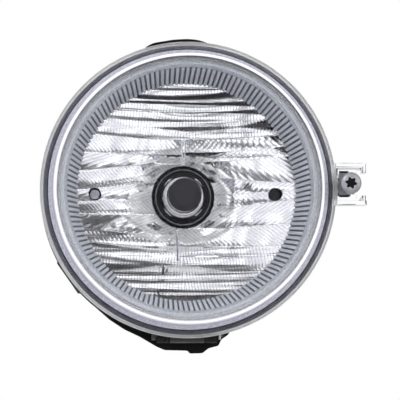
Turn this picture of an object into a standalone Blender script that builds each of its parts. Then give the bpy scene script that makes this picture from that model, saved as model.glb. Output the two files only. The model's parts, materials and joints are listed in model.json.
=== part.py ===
"""Round fog light: a tilting lamp unit in a fixed mounting frame.

Metres, +Z up. The lens looks along -Y. The origin is the centre of the mounting plane, which the
four feet of the frame share, so the whole lamp lies in front of it and only the plug side of the
bulb stands behind it.

Depths are measured back from the front edge of the lens rim, along +Y. y_at() turns a depth into Y.
"""

import math

import bmesh
import bpy
from mathutils import Matrix, Vector

# ---------------------------------------------------------------- driving dimensions
RIM_R = 0.0510  # outside of the clear lens flange
FOOT_DEPTH = 0.0600  # from the lens rim back to the mounting plane
GAP = 0.0003  # between pieces that touch

LENS_STEPS = 48
TURN_STEPS = 40
SMALL_STEPS = 24
TINY_STEPS = 12
ROD_SPIN = 3.3

# lens
LENS_CROWN = 0.0060  # how far the middle of the lens stands before its rim
LENS_WALL = 0.0019
SKIRT_R = 0.0447  # inside of the lens skirt
GROOVE_IN_R = 0.0481
GROOVE_OUT_R = 0.0499
GROOVE_DEPTH = 0.0108
FLANGE_DEPTH = 0.0090
LENS_BACK = 0.0140

# reflector, a paraboloid cut off by the bulb hole
FOCAL = 0.0125
VERTEX_DEPTH = 0.0570
DISH_R = 0.0384
BULB_HOLE_R = 0.0113
REFLECTOR_WALL = 0.0015
REFLECTOR_FLANGE_R = 0.0416
SCREW_CIRCLE_R = 0.0403
PIN_HOLE_X = 0.0318
PIN_HOLE_R = 0.0023

# fluted trim ring between lens and reflector
TRIM_MOUTH_R = 0.0421
TRIM_END_R = 0.0378
TRIM_END_DEPTH = 0.0270
TRIM_WALL = 0.0010

# housing
HOUSING_BORE_R = 0.0424
HOUSING_WALL = 0.0018
NECK_R = 0.0205
NECK_BACK = 0.0630
SHELF_FRONT = 0.0610
LUG_POCKET_R = 0.0142

# tilt hinge under the lamp
HINGE_DEPTH = 0.0220
HINGE_Z = -0.0490
KNUCKLE_R = 0.0036
PIN_R = 0.0015
PIN_BORE_R = 0.0018
MIDDLE_KNUCKLE = 0.0060  # half its length
OUTER_KNUCKLE_END = 0.0105

# mounting frame
FRAME_IN_R = 0.0478
FRAME_OUT_R = 0.0510
FRAME_FRONT = 0.0280
FRAME_BACK = 0.0360
LEG_ANGLES = (35.0, 145.0, 215.0, 325.0)
LEG_WIDTH = 0.0130
LEG_IN_R = 0.0473
LEG_OUT_R = 0.0504
FOOT_IN_R = 0.0368
FOOT_THICK = 0.0035
FOOT_HOLE_R = 0.0036
FOOT_HOLE_AT = 0.0432
SLEEVE_BORE_R = 0.00275
SLEEVE_R = 0.0033

# adjuster on the right of the lamp
SCREW_X = 0.0550
SCREW_Z = 0.0018
HEAD_R = 0.00375
SHANK_R = 0.0020
HEAD_FRONT = -0.0004
HEAD_BACK = 0.0022
SCREW_END = 0.0352
TORX_R = 0.00190
TAB_END_X = 0.0610
TAB_HALF = 0.0072
TAB_FRONT = 0.0070
TAB_BACK = 0.0092
TAB_WALL = 0.0013
TAB_WINDOW_HALF = 0.0039
CLIP_HALF = 0.0045
FOLD_X = 0.0586
CLIP_SHEET = 0.0007
CLIP_SLOT_HALF = 0.0035

# bulb
GLASS_R = 0.0060
GLASS_TIP = 0.0360
GLASS_END = 0.0528
COLLAR_R = 0.0109
COLLAR_FRONT = 0.0536
FLANGE_FRONT = 0.0644
FLANGE_R = 0.0175
LUG_R = 0.0136
LUG_ANGLES = (45.0, 165.0, 285.0)
LUG_SPAN = 26.0
SLOT_SPAN = 34.0
TWIST = 45.0
PLUG_HALF_X = 0.0105
PLUG_FRONT = 0.0685
PLUG_BACK = 0.0815
PLUG_MOUTH = -0.0340
PLUG_FLOOR = -0.0200
PLUG_WALL = 0.0015


def y_at(depth):
    return depth - FOOT_DEPTH


def arc(centre, radius, start, end, count):
    """Points on a circle about centre, from one angle to the other, in degrees."""
    turn = math.radians(end - start) / (count - 1)
    first = math.radians(start)
    return [
        (centre[0] + radius * math.cos(first + i * turn), centre[1] + radius * math.sin(first + i * turn))
        for i in range(count)
    ]


# ---------------------------------------------------------------- scene and materials
def clear_scene():
    for obj in list(bpy.data.objects):
        bpy.data.objects.remove(obj)


def new_collection(name):
    found = bpy.data.collections.new(name)
    bpy.context.scene.collection.children.link(found)
    return found


def finish(name, colour, roughness, metallic=0.0, clear=0.0):
    """A Principled material. clear is how much light it lets through."""
    made = bpy.data.materials.new(name)
    made.use_nodes = True
    shader = made.node_tree.nodes["Principled BSDF"]
    shader.inputs["Base Color"].default_value = (*colour, 1.0)
    shader.inputs["Roughness"].default_value = roughness
    shader.inputs["Metallic"].default_value = metallic
    shader.inputs["Transmission Weight"].default_value = clear
    return made


clear_scene()
LAMP = new_collection("fog_light")
HELPERS = new_collection("cutters")

CLEAR_PLASTIC = finish("clear_polycarbonate", (0.92, 0.93, 0.95), 0.03, clear=1.0)
MIRROR = finish("aluminised_mirror", (0.86, 0.87, 0.90), 0.06, metallic=1.0)
SATIN_SILVER = finish("aluminised_grain", (0.62, 0.65, 0.70), 0.35, metallic=1.0)
BLACK_PLASTIC = finish("black_nylon", (0.012, 0.012, 0.013), 0.55)
BULB_PLASTIC = finish("bulb_base_plastic", (0.010, 0.010, 0.012), 0.35)
SEAL_RUBBER = finish("seal_rubber", (0.02, 0.02, 0.022), 0.7)
VENT_RUBBER = finish("vent_rubber", (0.03, 0.03, 0.03), 0.8)
QUARTZ = finish("quartz_glass", (0.95, 0.95, 0.96), 0.02, clear=1.0)
ZINC = finish("zinc_plate", (0.62, 0.62, 0.64), 0.38, metallic=1.0)
SPRING_STEEL = finish("spring_steel", (0.42, 0.42, 0.45), 0.35, metallic=1.0)
STAINLESS = finish("stainless", (0.72, 0.71, 0.69), 0.25, metallic=1.0)
TUNGSTEN = finish("tungsten", (0.35, 0.34, 0.33), 0.4, metallic=1.0)
TINNED = finish("tinned_brass", (0.75, 0.73, 0.66), 0.3, metallic=1.0)
NYLON = finish("natural_nylon", (0.75, 0.74, 0.68), 0.5)


def axis_empty(name, place):
    """An empty on a joint's axis, which the pieces of a moving body hang from."""
    made = bpy.data.objects.new(name, None)
    made.location = place
    LAMP.objects.link(made)
    return made


TILT_AXIS = axis_empty("tilt_axis", (0.0, y_at(HINGE_DEPTH), HINGE_Z))
TURN_AXIS = axis_empty("screw_axis", (SCREW_X, y_at(HEAD_BACK), SCREW_Z))
BULB_AXIS = axis_empty("bulb_axis", (0.0, y_at(SHELF_FRONT), 0.0))
bpy.context.view_layer.update()


# ---------------------------------------------------------------- modelling tools
def add_object(name, mesh, material=None):
    """A node of the lamp, or a helper that isn't shown if it has no material."""
    made = bpy.data.objects.new(name, mesh)
    if material is None:
        HELPERS.objects.link(made)
        made.hide_render = True
        made.display_type = "WIRE"
    else:
        LAMP.objects.link(made)
        made.data.materials.append(material)
    return made


def hang_from(empty, *objects):
    """Parents objects to an empty without moving them."""
    for obj in objects:
        obj.parent = empty
        obj.matrix_parent_inverse = empty.matrix_world.inverted()


def area_of(outline):
    pairs = zip(outline, outline[1:] + outline[:1])
    return 0.5 * sum(a[0] * b[1] - b[0] * a[1] for a, b in pairs)


def turned(name, outline, material=None, steps=TURN_STEPS, centre=(0.0, 0.0)):
    """A solid turned about a line along Y through centre = (x, z).

    outline is a closed loop of (radius, depth) points. Where it touches the axis, its first and
    last points lie on it.
    """
    points = outline if area_of(outline) < 0 else outline[::-1]
    on_axis = sum(1 for radius, _ in points if radius == 0.0)
    if on_axis:
        while not (points[0][0] == 0.0 and points[-1][0] == 0.0):
            points = points[1:] + points[:1]
    mesh = bpy.data.meshes.new(name)
    corners = [(radius, y_at(depth), 0.0) for radius, depth in points]
    edges = [(i, i + 1) for i in range(len(points) - 1)]
    if not on_axis:
        edges.append((len(points) - 1, 0))
    mesh.from_pydata(corners, edges, [])
    made = add_object(name, mesh, material)
    made.location = (centre[0], 0.0, centre[1])
    screw = made.modifiers.new("turn", "SCREW")
    screw.axis = "Y"
    screw.angle = math.tau
    screw.steps = steps
    screw.render_steps = steps
    screw.use_merge_vertices = True
    screw.merge_threshold = 0.00001
    screw.use_normal_calculate = False
    screw.use_smooth_shade = False
    return made


def box(name, low, high, material=None, turn=0.0):
    """A box from low to high, each (x, depth, z), turned about the lamp's axis by turn degrees."""
    mesh = bpy.data.meshes.new(name)
    form = bmesh.new()
    bmesh.ops.create_cube(form, size=1.0)
    size = Vector(high) - Vector(low)
    middle = (Vector(high) + Vector(low)) / 2
    middle.y -= FOOT_DEPTH
    place = Matrix.Translation(middle) @ Matrix.Diagonal((*size, 1.0))
    bmesh.ops.transform(form, matrix=Matrix.Rotation(-math.radians(turn), 4, "Y") @ place, verts=form.verts)
    form.to_mesh(mesh)
    form.free()
    return add_object(name, mesh, material)


def rod(name, radius, start, end, material=None, steps=SMALL_STEPS):
    """A round bar between two points, each (x, depth, z).

    It is spun a little, so that its edges don't lie on the edges of what it cuts or joins.
    """
    first = Vector((start[0], y_at(start[1]), start[2]))
    last = Vector((end[0], y_at(end[1]), end[2]))
    along = last - first
    mesh = bpy.data.meshes.new(name)
    form = bmesh.new()
    bmesh.ops.create_cone(
        form, cap_ends=True, segments=steps, radius1=radius, radius2=radius, depth=along.length
    )
    place = Matrix.Translation((first + last) / 2) @ along.to_track_quat("Z", "Y").to_matrix().to_4x4()
    spin = Matrix.Rotation(math.radians(ROD_SPIN), 4, "Z")
    bmesh.ops.transform(form, matrix=place @ spin, verts=form.verts)
    form.to_mesh(mesh)
    form.free()
    return add_object(name, mesh, material)


def plate(name, outline, front, back, material=None):
    """A flat outline of (x, z) points as a plate that runs from one depth to another."""
    curve = bpy.data.curves.new(name, "CURVE")
    curve.dimensions = "2D"
    curve.fill_mode = "BOTH"
    curve.extrude = (back - front) / 2
    spline = curve.splines.new("POLY")
    spline.points.add(len(outline) - 1)
    for point, (x, z) in zip(spline.points, outline):
        point.co = (x, z, 0.0, 1.0)
    spline.use_cyclic_u = True
    drawn = bpy.data.objects.new(name + "_outline", curve)
    bpy.context.scene.collection.objects.link(drawn)
    drawn.rotation_euler = (math.pi / 2, 0.0, 0.0)
    drawn.location = (0.0, y_at((front + back) / 2), 0.0)
    return meshed(drawn, name, material)


def wire(name, points, radius, material=None, sides=1):
    """A round wire through (x, depth, z) points, as a mesh."""
    curve = bpy.data.curves.new(name, "CURVE")
    curve.dimensions = "3D"
    curve.bevel_depth = radius
    curve.bevel_resolution = sides
    curve.use_fill_caps = True
    spline = curve.splines.new("POLY")
    spline.points.add(len(points) - 1)
    for point, (x, depth, z) in zip(spline.points, points):
        point.co = (x, y_at(depth), z, 1.0)
    drawn = bpy.data.objects.new(name + "_path", curve)
    bpy.context.scene.collection.objects.link(drawn)
    return meshed(drawn, name, material)


def meshed(drawn, name, material):
    """Turns a curve object into a mesh object with its caps welded."""
    bpy.context.view_layer.update()
    graph = bpy.context.evaluated_depsgraph_get()
    mesh = bpy.data.meshes.new_from_object(drawn.evaluated_get(graph))
    form = bmesh.new()
    form.from_mesh(mesh)
    bmesh.ops.remove_doubles(form, verts=form.verts, dist=0.000001)
    bmesh.ops.recalc_face_normals(form, faces=form.faces)
    form.to_mesh(mesh)
    form.free()
    mesh.materials.clear()
    made = add_object(name, mesh, material)
    made.matrix_world = drawn.matrix_world
    bpy.data.objects.remove(drawn)
    return made


def combine(target, operation, *others):
    for other in others:
        step = target.modifiers.new(f"{operation.lower()}_{other.name}", "BOOLEAN")
        step.operation = operation
        step.object = other


def join(target, *others):
    combine(target, "UNION", *others)


def cut(target, *others):
    combine(target, "DIFFERENCE", *others)


def at_angle(radius, degrees):
    """(x, z) at a radius and an angle from +X towards +Z."""
    return radius * math.cos(math.radians(degrees)), radius * math.sin(math.radians(degrees))


def sector(inner, outer, middle, span, count=4):
    """Outline of a piece of a ring, centred on the angle middle."""
    low, high = middle - span / 2, middle + span / 2
    return arc((0, 0), outer, low, high, count) + arc((0, 0), inner, high, low, count)


# ---------------------------------------------------------------- lens and its seal
def lens_outline():
    """Crowned face, rounded shoulder, skirt, and a flange with a groove for the housing's tongue."""
    face_r = 0.0425
    outside = [
        (face_r * k, -LENS_CROWN + 0.0050 * k**2) for k in (0.0, 0.25, 0.5, 0.75, 1.0)
    ]
    outside += [(0.0444, -0.0002), (0.0456, 0.0010), (0.0461, 0.0026)]
    flange = [
        (0.0468, FLANGE_DEPTH - 0.0004),
        (0.0473, FLANGE_DEPTH),
        (RIM_R - 0.0005, FLANGE_DEPTH),
        (RIM_R, FLANGE_DEPTH + 0.0005),
        (RIM_R, LENS_BACK),
        (GROOVE_OUT_R, LENS_BACK),
        (GROOVE_OUT_R, GROOVE_DEPTH),
        (GROOVE_IN_R, GROOVE_DEPTH),
        (GROOVE_IN_R, LENS_BACK - 0.0003),
        (SKIRT_R, LENS_BACK - 0.0003),
    ]
    inside = [(SKIRT_R, 0.0034), (0.0440, 0.0019), (0.0426, 0.0009)]
    inside += [(r, depth + LENS_WALL) for r, depth in reversed(outside[:4])]
    return outside + flange + inside


def tab_block():
    """The side tab is a solid block. The cuts leave a plate with three thin walls round it."""
    low, high = SCREW_Z - TAB_HALF, SCREW_Z + TAB_HALF
    inner = TAB_END_X - TAB_WALL
    edge = FOLD_X - CLIP_SHEET - GAP
    block = box("tab_block", (0.0500, 0.0050, low), (TAB_END_X, LENS_BACK - 0.0002, high))
    return block, (
        box("tab_front", (0.0475, 0.0040, low + TAB_WALL), (inner, TAB_FRONT, high - TAB_WALL)),
        box("tab_rear", (0.0513, TAB_BACK, low + TAB_WALL), (inner, 0.0150, high - TAB_WALL)),
        tab_opening("tab_window", inner - 0.0003, 0.0041, 0.0151, TAB_WINDOW_HALF),
        tab_opening("tab_slot", SCREW_X - 0.0026, 0.0060, 0.0100, 0.0035),
        box(
            "tab_edge",
            (edge, 0.0061, SCREW_Z - CLIP_HALF - GAP),
            (inner - 0.0001, 0.0099, SCREW_Z + CLIP_HALF + GAP),
        ),
    )


def tab_opening(name, start_x, front, back, half):
    """A cutter through the tab's outer side, as high as half above and below the screw."""
    return box(name, (start_x, front, SCREW_Z - half), (TAB_END_X + 0.0014, back, SCREW_Z + half))


def make_lens():
    lens = turned("lens", lens_outline(), CLEAR_PLASTIC, LENS_STEPS)
    block, cuts = tab_block()
    join(lens, block)
    cut(lens, *cuts)
    return lens


def make_lens_seal():
    inner, outer = GROOVE_IN_R + GAP, GROOVE_OUT_R - GAP
    front, back = GROOVE_DEPTH + 0.0002, GROOVE_DEPTH + 0.0010
    return turned(
        "lens_seal", [(inner, front), (outer, front), (outer, back), (inner, back)], SEAL_RUBBER, LENS_STEPS
    )


# ---------------------------------------------------------------- reflector and trim ring
def dish_depth(radius):
    return VERTEX_DEPTH - radius * radius / (4 * FOCAL)


def make_reflector():
    rings = 7
    front, back = [], []
    for i in range(rings):
        radius = BULB_HOLE_R + (DISH_R - BULB_HOLE_R) * i / (rings - 1)
        slope = radius / (2 * FOCAL)
        length = math.hypot(slope, 1.0)
        front.append((radius, dish_depth(radius)))
        back.append(
            (radius + REFLECTOR_WALL * slope / length, dish_depth(radius) + REFLECTOR_WALL / length)
        )
    flange_front = dish_depth(DISH_R)
    flange = [
        (REFLECTOR_FLANGE_R, flange_front),
        (REFLECTOR_FLANGE_R, flange_front + 0.0018),
        (0.0389, flange_front + 0.0018),
    ]
    neck = [(BULB_HOLE_R + 0.0018, 0.0566), (BULB_HOLE_R, 0.0566)]
    outline = front + flange + back[::-1][1:-1] + neck
    reflector = turned("reflector", outline, MIRROR, LENS_STEPS)
    for side in (-1, 1):
        x = side * PIN_HOLE_X
        cut(reflector, rod(f"pin_hole_{side}", PIN_HOLE_R, (x, 0.030, 0), (x, 0.050, 0), steps=16))
    for i, (x, z) in enumerate(reflector_screw_places()):
        cut(reflector, rod(f"screw_hole_{i}", 0.0009, (x, 0.025, z), (x, 0.031, z), steps=TINY_STEPS))
    return reflector


def reflector_screw_places():
    return [at_angle(SCREW_CIRCLE_R, angle) for angle in (90.0, 210.0, 330.0)]


def make_reflector_screws():
    """Three small pan-head screws that hold the reflector's flange to the housing."""
    flange = dish_depth(DISH_R)
    outline = [
        (0.0, flange - 0.0011),
        (0.0009, flange - 0.0011),
        (0.0012, flange - 0.0008),
        (0.0012, flange - 0.0001),
        (0.0006, flange - 0.0001),
        (0.0006, flange + 0.0075),
        (0.0, flange + 0.0079),
    ]
    return [
        turned(f"reflector_screw_{side}", outline, ZINC, TINY_STEPS, place)
        for side, place in zip(("top", "left", "right"), reflector_screw_places())
    ]


def make_trim_ring():
    """Bell-mouthed ring: a rounded lip under the lens, then a cone that reaches the reflector."""
    outline = [
        (0.0443, 0.0090),
        (0.0443, 0.0045),
        (0.0438, 0.0037),
        (0.0430, 0.0034),
        (TRIM_MOUTH_R + 0.0002, 0.0040),
        (TRIM_MOUTH_R - 0.0003, 0.0055),
        (TRIM_END_R, TRIM_END_DEPTH),
        (TRIM_END_R + TRIM_WALL, TRIM_END_DEPTH),
        (0.0427, 0.0064),
        (0.0432, 0.0048),
        (0.0434, 0.0052),
        (0.0434, 0.0090),
    ]
    return turned("trim_ring", outline, SATIN_SILVER, LENS_STEPS)


# ---------------------------------------------------------------- housing
def housing_outline():
    tongue_in, tongue_out, tongue_front = GROOVE_IN_R + GAP, GROOVE_OUT_R - GAP, GROOVE_DEPTH + 0.0013
    outside = [
        (tongue_out, tongue_front),
        (tongue_out, 0.0162),
        (0.0448, 0.0172),
        (HOUSING_BORE_R + HOUSING_WALL, 0.0200),
        (0.0433, 0.0360),
        (0.0405, 0.0460),
        (0.0355, 0.0530),
        (0.0280, 0.0575),
        (0.0215, 0.0595),
        (NECK_R, 0.0605),
        (NECK_R, NECK_BACK),
    ]
    inside = [
        (COLLAR_R + 0.0005, NECK_BACK),
        (COLLAR_R + 0.0005, SHELF_FRONT),
        (LUG_POCKET_R, SHELF_FRONT),
        (LUG_POCKET_R, 0.0578),
        (0.0185, 0.0574),
        (0.0265, 0.0555),
        (0.0338, 0.0513),
        (0.0387, 0.0448),
        (0.0415, 0.0355),
        (HOUSING_BORE_R, 0.0200),
        (HOUSING_BORE_R, 0.0143),
        (tongue_in, 0.0143),
        (tongue_in, tongue_front),
    ]
    return outside + inside


def make_housing():
    housing = turned("housing", housing_outline(), BLACK_PLASTIC, LENS_STEPS)
    knuckle = rod(
        "middle_knuckle",
        KNUCKLE_R,
        (-MIDDLE_KNUCKLE, HINGE_DEPTH, HINGE_Z),
        (MIDDLE_KNUCKLE, HINGE_DEPTH, HINGE_Z),
    )
    web = box("knuckle_web", (-0.0050, 0.0193, HINGE_Z), (0.0050, 0.0247, -0.0430))
    join(housing, web, knuckle)
    for side in (-1, 1):
        x = side * PIN_HOLE_X
        join(housing, rod(f"locating_post_{side}", 0.0018, (x, 0.0392, 0), (x, 0.0539, 0), steps=TINY_STEPS))
    for i, (x, z) in enumerate(reflector_screw_places()):
        join(housing, rod(f"screw_boss_{i}", 0.0018, (x, 0.0304, z), (x, 0.0480, z), steps=TINY_STEPS))
        cut(housing, rod(f"boss_bore_{i}", 0.0009, (x, 0.0290, z), (x, 0.0370, z), steps=TINY_STEPS))
    x, z = VENT_PLACE
    join(housing, rod("vent_stub", 0.0028, (x, 0.0553, z), (x, 0.0620, z), steps=16))
    vent_bore = rod("vent_bore", 0.0015, (x, 0.0450, z), (x, 0.0660, z), steps=TINY_STEPS)
    cut(housing, vent_bore, pin_bore())
    for i, angle in enumerate(LUG_ANGLES):
        outline = sector(0.0100, LUG_R + 0.0004, angle - TWIST, SLOT_SPAN)
        cut(housing, plate(f"lug_slot_{i}", outline, SHELF_FRONT - 0.0005, NECK_BACK + 0.0005))
    return housing


VENT_PLACE = (-0.0170, 0.0230)


def pin_bore():
    end = OUTER_KNUCKLE_END + 0.002
    return rod("hinge_bore", PIN_BORE_R, (-end, HINGE_DEPTH, HINGE_Z), (end, HINGE_DEPTH, HINGE_Z), steps=16)


def make_vent_cap():
    """Rubber mushroom cap that lets the housing breathe."""
    outline = [
        (0.0, 0.0660),
        (0.0032, 0.0660),
        (0.0047, 0.0648),
        (0.0050, 0.0630),
        (0.0044, 0.0596),
        (0.0031, 0.0596),
        (0.0031, 0.0623),
        (0.0, 0.0623),
    ]
    return turned("vent_cap", outline, VENT_RUBBER, SMALL_STEPS, centre=VENT_PLACE)


# ---------------------------------------------------------------- bulb
def make_bulb_glass():
    """Quartz capsule, open at the back where the wires go in."""
    wall = 0.0009
    outline = [
        (0.0, GLASS_TIP),
        (0.0030, GLASS_TIP + 0.0003),
        (0.0050, GLASS_TIP + 0.0013),
        (GLASS_R, GLASS_TIP + 0.0035),
        (GLASS_R, GLASS_END),
        (GLASS_R - wall, GLASS_END),
        (GLASS_R - wall, GLASS_TIP + 0.0040),
        (0.0042, GLASS_TIP + 0.0021),
        (0.0, GLASS_TIP + 0.0012),
    ]
    return turned("bulb_glass", outline, QUARTZ, SMALL_STEPS)


FILAMENT_FRONT = 0.0412
FILAMENT_BACK = 0.0462
FILAMENT_R = 0.0008
LEAD_R = 0.00022


def make_filament():
    """A coil along the bulb's axis."""
    turns, per_turn = 6, 8
    count = turns * per_turn
    points = []
    for i in range(count + 1):
        x, z = at_angle(FILAMENT_R, 360.0 * i / per_turn)
        points.append((x, FILAMENT_FRONT + (FILAMENT_BACK - FILAMENT_FRONT) * i / count, z))
    return wire("filament", points, 0.00018, TUNGSTEN)


def make_lead_wires():
    """Two stiff wires that hold the coil's ends, one short and one running round to the front."""
    short = [(FILAMENT_R, FILAMENT_BACK + 0.0007, 0), (0.0012, 0.0480, 0), (0.0012, 0.0540, 0)]
    long = [
        (FILAMENT_R, FILAMENT_FRONT - 0.0007, 0),
        (-0.0010, FILAMENT_FRONT - 0.0012, 0),
        (-0.0028, FILAMENT_FRONT - 0.0004, 0),
        (-0.0030, 0.0440, 0),
        (-0.0022, 0.0490, 0),
        (-0.0018, 0.0540, 0),
    ]
    return [
        wire("lead_wire_short", short, LEAD_R, TUNGSTEN),
        wire("lead_wire_long", long, LEAD_R, TUNGSTEN),
    ]


def make_bulb_ferrule():
    """Steel sleeve that grips the glass, with a flange on the collar."""
    outline = [
        (GLASS_R + 0.0002, 0.0462),
        (0.0067, 0.0462),
        (0.0067, 0.0526),
        (0.0073, 0.0529),
        (0.0073, 0.0570),
        (0.0065, 0.0570),
        (0.0065, 0.0534),
        (GLASS_R + 0.0002, 0.0530),
    ]
    return turned("bulb_ferrule", outline, STAINLESS, SMALL_STEPS)


def base_outline():
    return [
        (0.0, 0.0586),
        (0.0076, 0.0586),
        (0.0076, COLLAR_FRONT),
        (0.0097, COLLAR_FRONT),
        (0.0101, COLLAR_FRONT + 0.0009),
        (COLLAR_R, COLLAR_FRONT + 0.0012),
        (COLLAR_R, FLANGE_FRONT),
        (FLANGE_R - 0.0004, FLANGE_FRONT),
        (FLANGE_R, FLANGE_FRONT + 0.0004),
        (FLANGE_R, FLANGE_FRONT + 0.0026),
        (0.0128, FLANGE_FRONT + 0.0030),
        (0.0122, 0.0735),
        (0.0, 0.0740),
    ]


def make_bulb_base():
    """Collar with three bayonet lugs, sealing flange, and a plug socket that points down."""
    base = turned("bulb_base", base_outline(), BULB_PLASTIC, 32)
    for i, angle in enumerate(LUG_ANGLES):
        outline = sector(0.0100, LUG_R, angle, LUG_SPAN)
        join(base, plate(f"lug_{i}", outline, 0.0590, SHELF_FRONT - GAP))
    shell = box(
        "plug_shell", (-PLUG_HALF_X, PLUG_FRONT, PLUG_MOUTH), (PLUG_HALF_X, PLUG_BACK, 0.0060)
    )
    latch = box("plug_latch", (-0.0030, PLUG_BACK - 0.0004, -0.0300), (0.0030, PLUG_BACK + 0.0014, -0.0250))
    ribs = [
        box(f"grip_rib_{i}", (x - 0.0011, 0.0655, 0.0020), (x + 0.0011, 0.0770, 0.0160))
        for i, x in enumerate((-0.0070, 0.0070))
    ]
    cavity = box(
        "plug_cavity",
        (-PLUG_HALF_X + PLUG_WALL, PLUG_FRONT + PLUG_WALL, PLUG_MOUTH - 0.001),
        (PLUG_HALF_X - PLUG_WALL, PLUG_BACK - PLUG_WALL, PLUG_FLOOR),
    )
    join(base, shell, latch, *ribs)
    cut(base, cavity)
    return base


def make_terminals():
    """Two flat pins inside the plug socket."""
    depth = (PLUG_FRONT + PLUG_BACK) / 2
    return [
        box(
            f"terminal_{side}",
            (x - 0.0012, depth - 0.0004, -0.0300),
            (x + 0.0012, depth + 0.0004, PLUG_FLOOR - GAP),
            TINNED,
        )
        for side, x in (("left", -0.0036), ("right", 0.0036))
    ]


def make_bulb_seal():
    """Ring seal between the bulb's flange and the housing's neck."""
    middle = (NECK_BACK + FLANGE_FRONT) / 2
    outline = [(0.0148 + a, middle + b) for a, b in arc((0, 0), 0.00055, 0.0, 315.0, 8)]
    return turned("bulb_seal", outline, SEAL_RUBBER, TURN_STEPS)


# ---------------------------------------------------------------- mounting frame
def leg(angle):
    """One leg from the ring back to its foot."""
    half = LEG_WIDTH / 2
    low = (LEG_IN_R, FRAME_FRONT + 0.002, -half)
    return box(f"leg_{angle:.0f}", low, (LEG_OUT_R, FOOT_DEPTH - 0.001, half), turn=angle)


def foot(angle):
    half = LEG_WIDTH / 2 + 0.0005
    low = (FOOT_IN_R, FOOT_DEPTH - FOOT_THICK, -half)
    return box(f"foot_{angle:.0f}", low, (LEG_OUT_R + 0.0003, FOOT_DEPTH, half), turn=angle)


def hinge_block():
    """The lump under the ring that carries the hinge, with a short drip rib and a long left shoulder."""
    outline = [
        (-0.0160, -0.0482),
        (-0.0305, -0.0395),
        (-0.0313, -0.0403),
        (-0.0266, -0.0444),
        (-0.0214, -0.0478),
        (-0.0161, -0.0503),
        (-0.0101, -0.0538),
        (-0.0073, -0.0550),
        (0.0008, -0.0552),
        (0.0015, -0.0562),
        (0.0057, -0.0561),
        (0.0078, -0.0544),
        (0.0113, -0.0535),
        (0.0123, -0.0513),
        (0.0148, -0.0496),
        (0.0154, -0.0482),
    ]
    return plate("hinge_block", outline[::-1], FRAME_FRONT + 0.0002, FRAME_BACK - 0.0002)


def top_tongue():
    """Low tongue on the ring's top that locates the frame in the panel opening."""
    outline = [
        (-0.0160, 0.0485),
        (-0.0144, 0.0513),
        (-0.0116, 0.0528),
        (-0.0046, 0.0540),
        (0.0004, 0.0543),
        (0.0040, 0.0540),
        (0.0067, 0.0532),
        (0.0092, 0.0521),
        (0.0104, 0.0506),
        (0.0104, 0.0490),
    ]
    return plate("top_tongue", outline[::-1], FRAME_FRONT + 0.0002, FRAME_FRONT + 0.0040)


def outer_knuckles():
    arms = []
    for side in (-1, 1):
        inner, outer = side * (MIDDLE_KNUCKLE + GAP), side * OUTER_KNUCKLE_END
        low, high = min(inner, outer), max(inner, outer)
        arms.append(
            rod(f"knuckle_{side}", KNUCKLE_R, (low, HINGE_DEPTH, HINGE_Z), (high, HINGE_DEPTH, HINGE_Z))
        )
        arms.append(
            box(
                f"knuckle_arm_{side}",
                (low + 0.0002, HINGE_DEPTH, HINGE_Z - KNUCKLE_R + 0.0001),
                (high - 0.0002, FRAME_FRONT + 0.0015, HINGE_Z + KNUCKLE_R - 0.0012),
            )
        )
    return arms


def make_mounting_frame():
    """Fixed ring with four legs and feet, the hinge's outer knuckles and the ear for the adjuster."""
    ring = [
        (FRAME_IN_R, FRAME_FRONT),
        (FRAME_OUT_R, FRAME_FRONT),
        (FRAME_OUT_R, FRAME_BACK),
        (FRAME_IN_R, FRAME_BACK),
    ]
    frame = turned("mounting_frame", ring, BLACK_PLASTIC, LENS_STEPS)
    ear = box("adjuster_ear", (0.0490, 0.0283, SCREW_Z - CLIP_HALF), (0.0592, 0.0320, SCREW_Z + CLIP_HALF))
    join(frame, hinge_block(), top_tongue(), ear, *outer_knuckles())
    for angle in LEG_ANGLES:
        join(frame, leg(angle), foot(angle))
    for angle in LEG_ANGLES:
        x, z = at_angle(FOOT_HOLE_AT, angle)
        cut(frame, rod(f"foot_hole_{angle:.0f}", FOOT_HOLE_R, (x, 0.052, z), (x, 0.062, z), steps=16))
    ear_hole = rod("ear_hole", 0.0030, (SCREW_X, 0.026, SCREW_Z), (SCREW_X, 0.034, SCREW_Z), steps=16)
    cut(frame, ear_hole, pin_bore())
    return frame


def make_foot_sleeves():
    """Steel sleeves in the feet that take the bolts' squeeze."""
    front, back = FOOT_DEPTH - FOOT_THICK - 0.0001, FOOT_DEPTH
    outline = [(SLEEVE_BORE_R, front), (SLEEVE_R, front), (SLEEVE_R, back), (SLEEVE_BORE_R, back)]
    for angle in LEG_ANGLES:
        turned(f"foot_sleeve_{angle:.0f}", outline, ZINC, 16, at_angle(FOOT_HOLE_AT, angle))


def make_hinge_pin():
    pin = rod("hinge_pin", PIN_R, (-0.0118, HINGE_DEPTH, HINGE_Z), (0.0126, HINGE_DEPTH, HINGE_Z), ZINC, 16)
    head = rod("pin_head", 0.0026, (-0.0122, HINGE_DEPTH, HINGE_Z), (-0.0109, HINGE_DEPTH, HINGE_Z), steps=16)
    groove = rod("pin_groove", 0.0030, (0.0110, HINGE_DEPTH, HINGE_Z), (0.0118, HINGE_DEPTH, HINGE_Z), steps=16)
    core = rod("pin_core", 0.0011, (0.0100, HINGE_DEPTH, HINGE_Z), (0.0128, HINGE_DEPTH, HINGE_Z), steps=16)
    cut(groove, core)
    join(pin, head)
    cut(pin, groove)
    return pin


def make_pin_clip():
    """E-clip in the pin's groove."""
    clip = rod("pin_clip", 0.0028, (0.0111, HINGE_DEPTH, HINGE_Z), (0.0117, HINGE_DEPTH, HINGE_Z), SPRING_STEEL)
    core = rod("clip_core", 0.0014, (0.0100, HINGE_DEPTH, HINGE_Z), (0.0125, HINGE_DEPTH, HINGE_Z), steps=16)
    mouth = box("clip_mouth", (0.0100, HINGE_DEPTH - 0.0014, -0.0530), (0.0125, HINGE_DEPTH + 0.0014, HINGE_Z))
    cut(clip, core, mouth)
    return clip


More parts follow.
